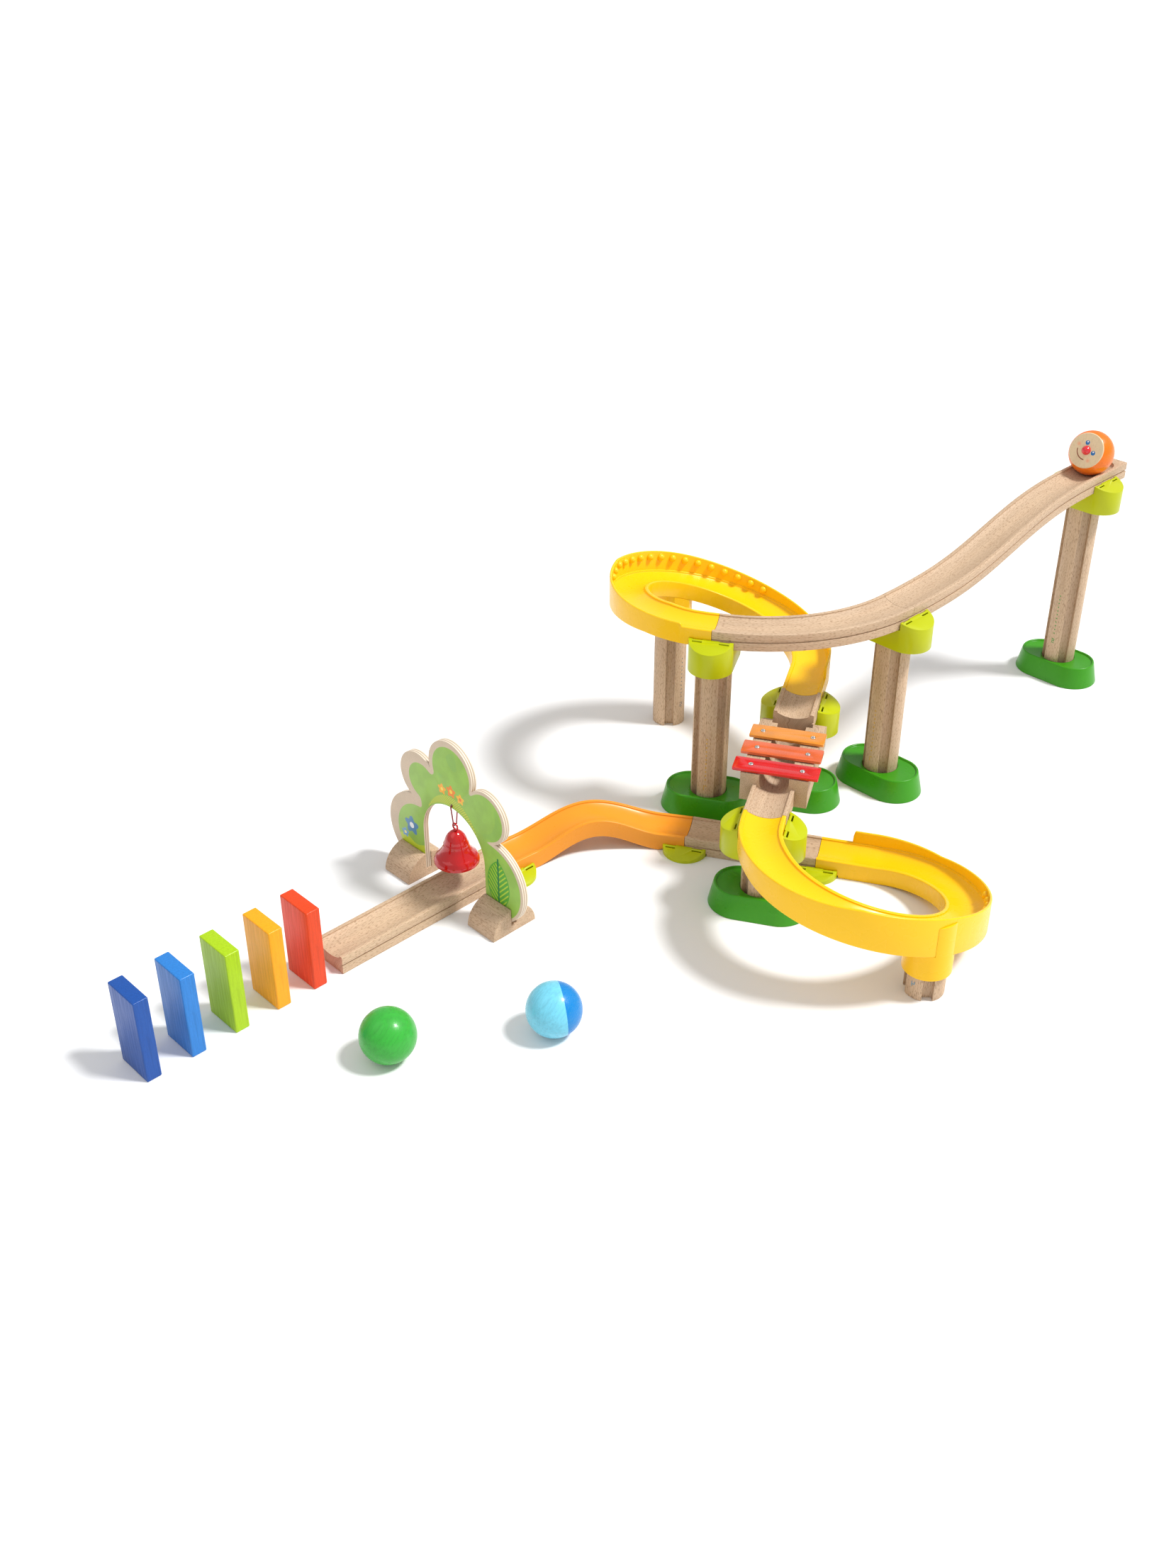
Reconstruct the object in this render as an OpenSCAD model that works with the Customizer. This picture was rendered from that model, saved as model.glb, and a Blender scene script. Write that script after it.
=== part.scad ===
// Marble run for small children: wooden and plastic tracks on round grooved posts,
// a three-bar chime, an arch with a bell, five dominoes and three wooden balls.
// The frame stands on z = 0, its origin is the middle of the start post's foot,
// and the first track runs along -X.

/* [Balls] */
// Radius of a wooden ball
ball_r = 22.5; // [20:0.5:25]
// Gap left between a ball and the surface it lies on
ball_gap = 0.3; // [0.1:0.1:0.5]
// Radius of the flat face cut on the first ball
face_r = 17.4; // [12:0.2:18]

/* [Track] */
// Width of every track
track_w = 37; // [34:0.5:42]
// Height of every track from its underside to the top of its rims
track_h = 17; // [15:0.5:20]
// Width of one rim
rim_w = 3.6; // [3:0.1:5]
// Height of the step from a rim down to the hollow
rim_step = 1.6; // [1:0.2:2.4]
// Depth of the hollow below the step
hollow_d = 4; // [3:0.2:6]
// Height of the lower edge of the slit in a track's side
slit_z = 8; // [7:0.2:9]
// Height of the slit in a track's side
slit_h = 1.4; // [1:0.1:2]
// Depth of the slit in a track's side
slit_d = 1.3; // [0.8:0.1:1.8]
// Gap between the ends of two tracks that meet
seam_gap = 0.4; // [0.2:0.1:0.8]

/* [Levels] */
// Height of one step on a post's scale
level = 20; // [18:0.5:22]
// Steps under the start of the first track
steps_start = 11; // [10:1:12]
// Steps under the bend
steps_bend = 9; // [8:1:9]
// Steps under the chime's upper end
steps_chime = 5; // [5:1:6]
// Steps under the chime's lower end
steps_front = 4; // [4:1:4]

/* [Layout] */
// Length of the first track between its two posts
ramp_l = 318; // [280:1:360]
// Length of the first track behind its upper post
ramp_tail = 40; // [30:1:46]
// Radius of a sixty degree bend at the middle of the track
bend_r = 175; // [160:1:190]
// Straight length at the upper end of a loop
loop_lead = 12; // [8:1:16]
// Radius of a loop at the middle of the track
loop_r = 88; // [80:1:96]
// Straight length at the lower end of a loop
loop_tail = 48; // [46:1:54]
// Length of the chime between its two posts
chime_l = 180; // [172:1:200]
// Length of the short floor track
short_l = 120; // [112:1:140]
// Length of the long floor track
long_l = 192; // [160:1:230]
// Height of the hump in the orange bend
hump_h = 17; // [12:1:20]

/* [Posts] */
// Diameter of a post
post_d = 33.6; // [31:0.2:36]
// Width of a post's four grooves
groove_w = 9; // [7:0.5:10]
// Depth of a post's four grooves
groove_d = 5.5; // [4:0.5:6]
// Gap round a post in its foot or socket
post_gap = 0.25; // [0.15:0.05:0.4]
// Half the distance between the round ends of a foot
foot_half = 17.4; // [15:0.2:20]
// Radius of a foot's ends at the floor
foot_r = 27.5; // [26:0.5:30]
// Radius of a foot's ends at the top
foot_top_r = 22.8; // [21.8:0.2:24]
// Height of a foot
foot_h = 22.5; // [20:0.5:26]
// Thickness of the floor inside a foot
foot_floor = 3; // [2:0.5:4]

/* [Connectors] */
// Half the length of a connector along the track
wing_r = 20.5; // [19.5:0.5:22]
// Reach of a connector on each side of the track's middle line
wing_reach = 37; // [35:0.5:40]
// Reach of a floor connector on each side of the track's middle line
link_reach = 35; // [33:0.5:37]
// Depth of a raised connector below the track
sleeve_h = 21.5; // [20:0.5:24]
// Drop of a wing's top face towards its tip, in degrees
wing_tilt = 18; // [10:1:22]
// Gap between a connector and the track's side
wing_gap = 0.25; // [0.15:0.05:0.4]
// Depth that a post's end goes into a connector or socket
plug_h = 17; // [14:0.5:18]
// Thickness of the plate under the track in a floor connector
plate_t = 2; // [1.5:0.1:2.4]
// Distance between the two clips of a wing
clip_pitch = 24.5; // [20:0.5:26]
// Length of a clip's opening
clip_l = 9; // [7:0.5:10]
// Radius of a clip's bar
clip_r = 1.3; // [1:0.1:1.5]

/* [Loops] */
// Thickness of a moulded wall
wall = 2.4; // [2:0.1:3]
// Height of the outer wall above the underside at the upper end
fence_top = 20.2; // [18:0.2:24]
// Height of the outer wall above the underside at the lower end
fence_low = 29; // [22:0.5:32]
// Radius of a bead on the outer wall
bead_r = 3.6; // [3:0.1:4]
// Number of beads on the outer wall
bead_n = 16; // [9:1:17]
// Radius of the socket under a loop
socket_r = 20.4; // [19.6:0.2:22]

/* [Chime] */
// Distance of the chime's block from the middle of the upper post
block_x = 30.5; // [28:0.5:34]
// Width of the chime's block
block_w = 59; // [54:1:64]
// Length of the chime's block
block_l = 109; // [104:1:118]
// Height of the chime's block
block_h = 27; // [24:1:30]
// Radius of the hollow under the bars
bowl_r = 13; // [11:0.5:14]
// Width of a metal bar
bar_w = 20; // [16:0.5:22]
// Thickness of a metal bar
bar_t = 2.4; // [1.6:0.2:3]
// Length of the shortest bar
bar_l = 67; // [64:1:72]
// Growth in length from one bar to the next
bar_step = 4; // [2:0.5:5]
// Distance from one bar to the next
bar_pitch = 29; // [25:0.5:31]
// Thickness of the felt under the bars
felt_t = 1; // [0.8:0.1:1.4]

/* [Arch] */
// Distance of the arch from the start of the long floor track
arch_x = 52; // [40:1:80]
// Thickness of the arch's plywood
ply_t = 5.6; // [4.5:0.1:7]
// Half the width of the arch's opening
gate_r = 41; // [38:0.5:44]
// Height of the middle of the opening's round top
gate_z = 51; // [46:1:56]
// Radius of an arch foot's half-round
block_r = 24; // [22:0.5:26]
// Width of an arch foot
arch_foot_w = 34; // [30:0.5:36]
// Depth of the slot in an arch foot, from its top
slot_d = 16.5; // [12:0.5:18]
// Gap on each side of the plywood in its slot
slot_gap = 0.1; // [0.05:0.05:0.2]

/* [Bell] */
// Radius of the bell's mouth
bell_r = 20; // [16:0.2:21]
// Height of the bell
bell_h = 31; // [28:0.5:36]
// Thickness of the bell's metal
bell_t = 1.2; // [1:0.1:1.6]
// Diameter of the bell's cord
cord_d = 1.2; // [1:0.1:1.4]

/* [Dominoes] */
// Width of a domino
domino_w = 36.6; // [30:0.2:40]
// Thickness of a domino
domino_t = 12.8; // [10:0.2:15]
// Height of a domino
domino_h = 77; // [70:0.5:84]
// Distance from one domino to the next
domino_pitch = 39.7; // [34:0.1:44]
// Distance from the first domino to the second
domino_first = 35.6; // [30:0.1:44]
// Gap between the long track's end and the first domino
domino_gap = 15.7; // [10:0.1:30]

/* [Hidden] */

BEECH = "#d9b48c";
LIME = "#b9cc10";
GREEN = "#4a9a2b";
YELLOW = "#ffcf24";
ORANGE = "#f39a3a";

// Heights of the track's underside along the run.
z_start = level * steps_start;
z_bend = level * steps_bend;
z_chime = level * steps_chime;
z_front = level * steps_front;

// Every track's cross-section.
hollow_half = track_w / 2 - rim_w;
hollow_top = track_h - rim_step;
hollow_z = hollow_top - hollow_d;
hollow_r = (hollow_half * hollow_half + hollow_d * hollow_d) / (2 * hollow_d);
edge = 0.8;
eps = 0.01;
touch = 0.1;

// A place is [x, y, heading]: a point on the floor plan and the way the ball goes.
function dir(h) = [cos(h), sin(h)];
function side(h) = [-sin(h), cos(h)];
function ahead(p, along, left = 0) = let (h = p[2])
  [p[0] + along * cos(h) - left * sin(h), p[1] + along * sin(h) + left * cos(h), h];
function turned(p, a) = [p[0], p[1], p[2] + a];
// After a bend of angle a to the left (turn = 1) or right (turn = -1).
function after_bend(p, r, a, turn) =
  turned(ahead(p, r * sin(a), turn * r * (1 - cos(a))), turn * a);
// After a loop: a straight, three quarters of a circle and a longer straight.
function after_loop(p, turn) =
  turned(ahead(p, loop_lead - loop_r, turn * (loop_r - loop_tail)), turn * 270);

bend_a = 60;
at_start = [0, 0, 180];
at_bend_in = ahead(at_start, ramp_l);
at_bend_out = after_bend(at_bend_in, bend_r, bend_a, -1);
at_chime = after_loop(at_bend_out, -1);
at_front = ahead(at_chime, chime_l);
at_link_loop = after_loop(at_front, 1);
at_link_hump = ahead(at_link_loop, short_l);
at_link_long = after_bend(at_link_hump, bend_r, bend_a, 1);
at_end = ahead(at_link_long, long_l);
at_arch = ahead(at_link_long, arch_x);

module place(p, z = 0) {
  translate([p[0], p[1], z]) rotate(p[2]) children();
}

// A rise that starts and ends gently: t runs from 0 to 1, k sets how gently.
function ease(t, k = 1) = t <= 0 ? 0 : t >= 1 ? 1 : t - k * sin(360 * t) / (2 * PI);

// ---- Wooden track ----
module track_section() {
  difference() {
    polygon([[-track_w / 2 + edge, 0], [track_w / 2 - edge, 0], [track_w / 2, edge],
             [track_w / 2, track_h - edge], [track_w / 2 - edge, track_h],
             [-track_w / 2 + edge, track_h], [-track_w / 2, track_h - edge],
             [-track_w / 2, edge]]);
    translate([-hollow_half, hollow_top]) square([2 * hollow_half, rim_step + 1]);
    intersection() {
      translate([0, hollow_z + hollow_r]) circle(r = hollow_r, $fn = 96);
      translate([-hollow_half, 0]) square([2 * hollow_half, hollow_top + eps]);
    }
    for (s = [-1, 1])
      translate([s * track_w / 2 - slit_d, slit_z]) square([2 * slit_d, slit_h]);
  }
}

// A straight piece from the origin along +X, with rebates for floor connectors.
module straight_track(l, rebate_in = false, rebate_out = false) {
  difference() {
    translate([seam_gap / 2, 0, 0]) rotate([90, 0, 90])
      linear_extrude(l - seam_gap) track_section();
    if (rebate_in)
      translate([-1, -track_w, -1]) cube([rebate_l + 1, 2 * track_w, 1 + rebate_h]);
    if (rebate_out)
      translate([l - rebate_l, -track_w, -1])
        cube([rebate_l + 1, 2 * track_w, 1 + rebate_h]);
  }
}

// ---- Swept track: a closed outline carried along a list of stations ----
// A station is [place, z, outline], and the outline's points are [left, up].
function swept_point(s, q) = let (h = s[0][2])
  [s[0][0] - q[0] * sin(h), s[0][1] + q[0] * cos(h), s[1] + q[1]];
module sweep(stations) {
  n = len(stations[0][2]);
  m = len(stations);
  points = [for (s = stations) for (q = s[2]) swept_point(s, q)];
  sides = [for (i = [0 : m - 2]) for (j = [0 : n - 1])
    each let (a = i * n + j, b = i * n + (j + 1) % n)
      [[a, a + n, b], [b, a + n, b + n]]];
  ends = [[for (j = [0 : n - 1]) j], [for (j = [0 : n - 1]) m * n - 1 - j]];
  polyhedron(points, concat(sides, ends));
}

// The wooden outline, its hollow narrowed to a share w and its depth to a share d.
arc_steps = 10;
function hollow_arc(w = 1, d = 1) = [for (i = [0 : arc_steps])
  let (y = hollow_half * (1 - 2 * i / arc_steps),
       z = hollow_z + hollow_r - sqrt(hollow_r * hollow_r - y * y))
  [y * w, track_h - d * (track_h - z)]];
function wood_outline(w = 1, d = 1) = let (o = track_w / 2, i = hollow_half * w)
  concat([[o - edge, 0], [o, edge], [o, slit_z], [o - slit_d, slit_z],
          [o - slit_d, slit_z + slit_h], [o, slit_z + slit_h], [o, track_h - edge],
          [o - edge, track_h], [i, track_h]],
         hollow_arc(w, d),
         [[-i, track_h], [-o + edge, track_h], [-o, track_h - edge], [-o, slit_z + slit_h],
          [-o + slit_d, slit_z + slit_h], [-o + slit_d, slit_z], [-o, slit_z],
          [-o, edge], [-o + edge, 0]]);

// The first track: its hollow has a round end behind the upper post, then it drops
// in an S-shape and is level again on the next post.
module start_ramp() {
  stop_w = 9.5;
  full = stop_w - ramp_tail + hollow_half;
  drop = z_start - z_bend;
  steps = 30;
  nearly_none = 0.05;
  flat = wing_r + 2 * wing_gap;
  run = ramp_l - 2 * flat;
  shape = 0.85;
  closed = wood_outline(nearly_none, nearly_none);
  stations = concat(
    [[ahead(at_start, -ramp_tail), z_start, closed],
     [ahead(at_start, full - hollow_half - eps), z_start, closed]],
    [for (i = [0 : 6]) let (a = 90 * i / 6)
      [ahead(at_start, full - hollow_half * cos(a)), z_start,
       wood_outline(max(nearly_none, sin(a)))]],
    [for (i = [0 : steps]) let (t = i / steps)
      [ahead(at_start, flat + run * t), z_start - drop * ease(t, shape), wood_outline()]],
    [[ahead(at_start, ramp_l - seam_gap / 2), z_bend, wood_outline()]]);
  color(BEECH) sweep(stations);
}

// Half a seam's gap as an angle on a bend's middle line.
seam_a = seam_gap / 2 / bend_r * 180 / PI;
module upper_bend() {
  color(BEECH) difference() {
    place(at_bend_in, z_bend) translate([0, -bend_r, 0])
      rotate(90 - bend_a + seam_a) rotate_extrude(angle = bend_a - 2 * seam_a, $fn = 180)
        translate([bend_r, 0]) track_section();
    side_relief(at_bend_in, z_bend);
    side_relief(at_bend_out, z_bend);
  }
}

module short_floor_track() {
  color(BEECH) place(at_link_loop) straight_track(short_l, true, true);
}

module long_floor_track() {
  color(BEECH) place(at_link_long) straight_track(long_l, true, false);
}

// What is cut from a curved track's sides so that it stays clear of a connector's wings.
module side_relief(p, z) {
  for (s = [-1, 1])
    place(p, z - 1) translate([-rebate_l, s > 0 ? track_w / 2 + touch
                               : -track_w / 2 - touch - wing_reach, 0])
      cube([2 * rebate_l, wing_reach, 3 * level]);
}

// ---- Moulded plastic track: a shell that is open below ----
skin = 2.6;
tiny = 0.1;
rebate_h = plate_t + wing_gap;
rebate_l = wing_r + 2 * wing_gap;
// The outline has a tall fence on its left (1) or right (-1), and its feet end at a height.
function shell_outline(fence, fence_side, foot_z = 0) = let (o = track_w / 2, i = hollow_half,
    lip = o - wall, roof = hollow_z - skin, rim = track_h - tiny,
    left = fence_side > 0 ? fence : track_h, right = fence_side < 0 ? fence : track_h)
  concat([[lip, foot_z], [o, foot_z], [o, left], [lip, left], [lip, rim], [i, rim]],
         hollow_arc(),
         [[-i, rim], [-lip, rim], [-lip, right], [-o, right], [-o, foot_z], [-lip, foot_z],
          [-lip, roof], [lip, roof]]);

loop_steps = 44;
fall_from = 30;
fall_to = 265;
fence_from = 95;
fence_to = 235;
fall_shape = 0.5;
fence_shape = 0.3;
fence_step = 0.6;
// The fence is only a rim's height inside the connectors at a loop's two ends.
fence_start = 25;
fence_start_a = (fence_start - loop_lead) / loop_r * 180 / PI;
fence_stop = 20;
// Height of the underside, and of the fence's top, a degrees into a loop.
function loop_z(z, drop, a) = z - drop * ease((a - fall_from) / (fall_to - fall_from), fall_shape);
function fence_z(z, drop, a) = z + fence_top
  - (drop + fence_top - fence_low) * ease((a - fence_from) / (fence_to - fence_from), fence_shape);
// The place a degrees round a loop, shifted outwards from the track's middle line.
function loop_place(p, turn, a, out = 0) = let (c = ahead(p, loop_lead, turn * loop_r),
    r = loop_r + out, h = p[2] + turn * a)
  [c[0] + turn * r * sin(h), c[1] - turn * r * cos(h), h];

module loop_track(p, z, z_low, turn) {
  drop = z - z_low;
  last = loop_place(p, turn, 270);
  rim = track_h + tiny;
  end_foot = z_low > 0 ? 0 : rebate_h;
  function line(fence, foot_z = 0) = shell_outline(fence, -turn, foot_z);
  stations = concat(
    [[ahead(p, seam_gap / 2), z, line(rim)],
     [ahead(p, loop_lead), z, line(rim)],
     [loop_place(p, turn, fence_start_a), z, line(rim)],
     [loop_place(p, turn, fence_start_a + fence_step), z, line(fence_top)]],
    [for (i = [2 : loop_steps]) let (a = 270 * i / loop_steps, zb = loop_z(z, drop, a))
      [loop_place(p, turn, a), zb, line(fence_z(z, drop, a) - zb)]],
    [[ahead(last, fence_stop), z_low, line(fence_low)],
     [ahead(last, fence_stop + fence_step), z_low, line(rim)],
     [ahead(last, loop_tail - rebate_l - tiny), z_low, line(rim)],
     [ahead(last, loop_tail - rebate_l), z_low, line(rim, end_foot)],
     [ahead(last, loop_tail - seam_gap / 2), z_low, line(rim, end_foot)]]);
  difference() {
    sweep(stations);
    side_relief(p, z);
  }
}

// Half-round beads on the inside of a loop's fence.
bead_gap = 0.25;
bead_from = 80;
bead_pitch = 7.5;
bead_drop = 6.2;
module loop_beads(p, z, z_low, turn) {
  out = track_w / 2 - wall - bead_gap;
  box = 4 * bead_r;
  for (i = [0 : bead_n - 1]) {
    a = bead_from + bead_pitch * i;
    bead_z = fence_z(z, z - z_low, a) - bead_drop;
    place(loop_place(p, turn, a, out), bead_z) intersection() {
      sphere(r = bead_r, $fn = 32);
      translate([-box / 2, turn > 0 ? 0 : -box, -box / 2]) cube(box);
    }
  }
}

// The round socket under the middle of a loop, bored for a post. Its top follows the
// track's underside, and a sliver of it runs up the outside of the fence.
mid_a = 135;
socket_a = asin((socket_r + 1) / (loop_r - track_w / 2));
socket_cap = 3;
socket_plug = 10;
function socket_z(z, drop) = loop_z(z, drop, mid_a + socket_a) - socket_cap;
module loop_socket(p, z, z_low, turn) {
  drop = z - z_low;
  q = loop_place(p, turn, mid_a);
  bore_top = socket_z(z, drop);
  o = track_w / 2 + touch;
  sky = 3 * level + fence_top;
  envelope = [[o, -touch], [o, sky], [-o, sky], [-o, -touch]];
  rib_top = fence_z(z, drop, mid_a) - bead_drop;
  difference() {
    translate([q[0], q[1], bore_top - socket_plug])
      cylinder(r = socket_r, h = rib_top - bore_top + socket_plug, $fn = 96);
    translate([q[0], q[1], bore_top - socket_plug - 1])
      cylinder(d = post_d + 2 * post_gap, h = socket_plug + 1, $fn = 96);
    sweep([for (i = [-6 : 6]) let (a = mid_a + i * (socket_a + 1) / 6)
      [loop_place(p, turn, a), loop_z(z, drop, a), envelope]]);
    place(loop_place(p, turn, mid_a, -o), bore_top)
      translate([-2 * socket_r, turn > 0 ? 0 : -2 * socket_r, 0])
        cube([4 * socket_r, 2 * socket_r, sky]);
  }
}

module upper_loop() color(YELLOW) loop_track(at_bend_out, z_bend, z_chime, -1);
module upper_loop_beads() color(YELLOW) loop_beads(at_bend_out, z_bend, z_chime, -1);
module upper_loop_socket() color(YELLOW) loop_socket(at_bend_out, z_bend, z_chime, -1);
module lower_loop() color(YELLOW) loop_track(at_front, z_front, 0, 1);
module lower_loop_beads() color(YELLOW) loop_beads(at_front, z_front, 0, 1);
module lower_loop_socket() color(YELLOW) loop_socket(at_front, z_front, 0, 1);

// The orange bend rises off the floor between its two ends.
module hump_bend() {
  steps = 30;
  level_a = 7;
  span = bend_a - 2 * level_a;
  rebate_a = rebate_l / bend_r * 180 / PI;
  c = ahead(at_link_hump, 0, bend_r);
  function hump(a) = let (t = (a - level_a) / span)
    t <= 0 || t >= 1 ? 0 : hump_h * (1 - cos(360 * t)) / 2;
  function at(a) = let (h = at_link_hump[2] + a)
    [c[0] + bend_r * sin(h), c[1] - bend_r * cos(h), h];
  function outline(a) = shell_outline(track_h + tiny, 1,
    a < rebate_a || a > bend_a - rebate_a ? rebate_h : 0);
  angles = concat([seam_a, rebate_a - tiny, rebate_a + tiny],
    [for (i = [0 : steps]) level_a + span * i / steps],
    [bend_a - rebate_a - tiny, bend_a - rebate_a + tiny, bend_a - seam_a]);
  color(ORANGE) difference() {
    sweep([for (a = angles) [at(a), hump(a), outline(a)]]);
    side_relief(at_link_hump, 0);
    side_relief(at_link_long, 0);
  }
}

// ---- Posts, feet and connectors ----
module post(p, z, turn = 45) {
  color(BEECH) place(p, foot_floor) post_body(z - foot_floor, turn);
}
module post_body(h, turn) {
  rotate(turn) difference() {
    cylinder(d = post_d, h = h, $fn = 96);
    for (a = [0 : 90 : 270]) rotate(a)
      translate([post_d / 2 - groove_d, -groove_w / 2, -1]) cube([post_d, groove_w, h + 2]);
  }
}

// A foot is a stadium with sloping sides, a sunk top, and a hole for a post.
module foot(p) {
  sunk = 1.8;
  lip = 2.4;
  color(GREEN) place(p) difference() {
    union() {
      for (s = [-1, 1]) translate([0, s * foot_half, 0])
        cylinder(r1 = foot_r, r2 = foot_top_r, h = foot_h, $fn = 96);
      rotate([90, 0, 0]) translate([0, 0, -foot_half]) linear_extrude(2 * foot_half)
        polygon([[-foot_r, 0], [foot_r, 0], [foot_top_r, foot_h], [-foot_top_r, foot_h]]);
    }
    for (s = [-1, 1]) translate([0, s * foot_half, foot_h - sunk])
      cylinder(r = foot_top_r - lip, h = sunk + 1, $fn = 96);
    translate([-foot_top_r + lip, -foot_half, foot_h - sunk])
      cube([2 * (foot_top_r - lip), 2 * foot_half, sunk + 1]);
    translate([0, 0, foot_floor]) cylinder(d = post_d + 2 * post_gap, h = foot_h, $fn = 96);
  }
}

// A stadium across the track, centred on it.
module wing_plan(reach) {
  for (s = [-1, 1]) translate([0, s * (reach - wing_r)]) circle(r = wing_r, $fn = 96);
  square([2 * wing_r, 2 * (reach - wing_r)], center = true);
}
// The bars of the clips lie in the openings, level with the slit in the track's side.
clip_sink = 0.3;
clip_root = 0.5;
module clips(z) {
  y = track_w / 2 + wing_gap + clip_r;
  for (s = [-1, 1], c = [-1, 1])
    translate([c * clip_pitch / 2 - clip_l / 2 - clip_root, s * y, z - clip_r - clip_sink])
      rotate([0, 90, 0]) cylinder(r = clip_r, h = clip_l + 2 * clip_root, $fn = 24);
}
module clip_openings(z) {
  reach = 4.4;
  depth = 5;
  for (s = [-1, 1], c = [-1, 1])
    translate([c * clip_pitch / 2 - clip_l / 2, s > 0 ? track_w / 2 : -track_w / 2 - reach,
               z - depth])
      cube([clip_l, reach, 2 * depth]);
}
// What is cut away above the wings' sloping tops.
module wing_slope(z) {
  far = 2 * wing_reach;
  for (s = [-1, 1]) translate([0, s * track_w / 2, z]) rotate([-s * wing_tilt, 0, 0])
    translate([-far / 2, s > 0 ? 0 : -far, 0]) cube([far, far, far]);
}
// The space between the wings that the tracks lie in.
module cradle(z) {
  far = 2 * wing_reach;
  translate([-far / 2, -track_w / 2 - wing_gap, z]) cube([far, track_w + 2 * wing_gap, far]);
}

// A raised connector: a sleeve for the post below, and a cradle for the tracks above.
module connector(p, z) {
  color(LIME) place(p, z) union() {
    difference() {
      translate([0, 0, -sleeve_h]) linear_extrude(sleeve_h + slit_z) wing_plan(wing_reach);
      cradle(0);
      translate([0, 0, -sleeve_h - 1])
        cylinder(d = post_d + 2 * post_gap, h = plug_h + 1, $fn = 96);
      clip_openings(slit_z);
      wing_slope(slit_z);
    }
    clips(slit_z);
  }
}
function post_top(z) = z - sleeve_h + plug_h - post_gap;

// A floor connector: two wings joined by a thin plate under the tracks.
module floor_link(p) {
  color(LIME) place(p) union() {
    difference() {
      linear_extrude(slit_z) wing_plan(link_reach);
      cradle(plate_t);
      clip_openings(slit_z);
      wing_slope(slit_z);
    }
    clips(slit_z);
  }
}

module connector_start() connector(at_start, z_start);
module connector_bend_in() connector(at_bend_in, z_bend);
module connector_bend_out() connector(at_bend_out, z_bend);
module connector_chime() connector(at_chime, z_chime);
module connector_front() connector(at_front, z_front);
module floor_link_loop() floor_link(at_link_loop);
module floor_link_hump() floor_link(at_link_hump);
module floor_link_long() floor_link(at_link_long);

module post_start() post(at_start, post_top(z_start));
module post_bend_in() post(at_bend_in, post_top(z_bend));
module post_bend_out() post(at_bend_out, post_top(z_bend));
module post_chime() post(at_chime, post_top(z_chime));
module post_front() post(at_front, post_top(z_front));
module floor_post(p, top) {
  color(BEECH) translate([p[0], p[1], 0]) post_body(top, 45);
}
module post_loop_upper()
  floor_post(loop_place(at_bend_out, -1, mid_a), socket_z(z_bend, z_bend - z_chime) - post_gap);
module post_loop_lower()
  floor_post(loop_place(at_front, 1, mid_a), socket_z(z_front, z_front) - post_gap);

module foot_start() foot(at_start);
module foot_bend_in() foot(at_bend_in);
module foot_bend_out() foot(turned(at_bend_out, 90));
module foot_chime() foot(at_chime);
module foot_front() foot(at_front);

// ---- Chime: a block with three metal bars between two short tracks ----
lap = 13.5;
gutter = 4.5;
gutter_z = 12;
glue = 0.05;
bowl_z = 19;
block_top = z_front + block_h;
bar_z = block_top + felt_t + 2 * glue;
bar_x = 40.5;
screw_y = 22.5;
screw_r = 1.5;
screw_hole_r = 1.6;
screw_in = 10;
screw_head_r = 2.3;
screw_head_h = 1.1;
lap_end = block_x + lap;
bars = [0, 1, 2];
function bar_at(i) = block_x + bar_x + bar_pitch * i;

module screw_holes(z, h) {
  for (i = bars, s = [-1, 1])
    translate([bar_at(i), s * screw_y, z]) cylinder(r = screw_hole_r, h = h, $fn = 32);
}

module chime_block() {
  mouth = block_x + lap + gutter;
  color(BEECH) place(at_chime) difference() {
    translate([block_x, -block_w / 2, z_front]) cube([block_l, block_w, block_h]);
    translate([block_x - 1, -block_w, z_chime]) cube([lap + 1, 2 * block_w, block_h]);
    translate([block_x + lap - eps, -track_w / 2, block_top - gutter_z])
      cube([gutter, track_w, block_h]);
    translate([mouth - 2 * eps, 0, block_top - bowl_z + bowl_r]) rotate([0, 90, 0])
      cylinder(r = bowl_r, h = block_l, $fn = 96);
    translate([mouth - 2 * eps, -bowl_r, block_top - bowl_z + bowl_r])
      cube([block_l, 2 * bowl_r, block_h]);
    screw_holes(block_top - screw_in - 1, block_h);
  }
}
module chime_upper_stub() {
  color(BEECH) place(at_chime, z_chime) straight_track(lap_end);
}
module chime_lower_stub() {
  color(BEECH) place(ahead(at_chime, block_x + block_l + glue - seam_gap / 2), z_front)
    straight_track(chime_l - block_x - block_l - glue + seam_gap / 2);
}
module chime_felt() {
  felt_w = 10.5;
  felt_l = bar_w - 3;
  color("#3a2a26") place(at_chime, block_top + glue) difference() {
    for (i = bars, s = [-1, 1])
      translate([bar_at(i) - felt_l / 2, s * screw_y - felt_w / 2, 0])
        cube([felt_l, felt_w, felt_t]);
    screw_holes(-1, felt_t + 2);
  }
}
module chime_bar(i) {
  r = 1.5;
  l = bar_l + bar_step * i;
  place(at_chime, bar_z) difference() {
    linear_extrude(bar_t) translate([bar_at(i), 0]) union() {
      square([bar_w - 2 * r, l], center = true);
      square([bar_w, l - 2 * r], center = true);
      for (a = [-1, 1], b = [-1, 1]) translate([a * (bar_w / 2 - r), b * (l / 2 - r)])
        circle(r = r, $fn = 32);
    }
    screw_holes(-1, bar_t + 2);
  }
}
module chime_bar_amber() color("#f5a43a") chime_bar(0);
module chime_bar_orange() color("#ef7a45") chime_bar(1);
module chime_bar_red() color("#e5171b") chime_bar(2);
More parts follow.
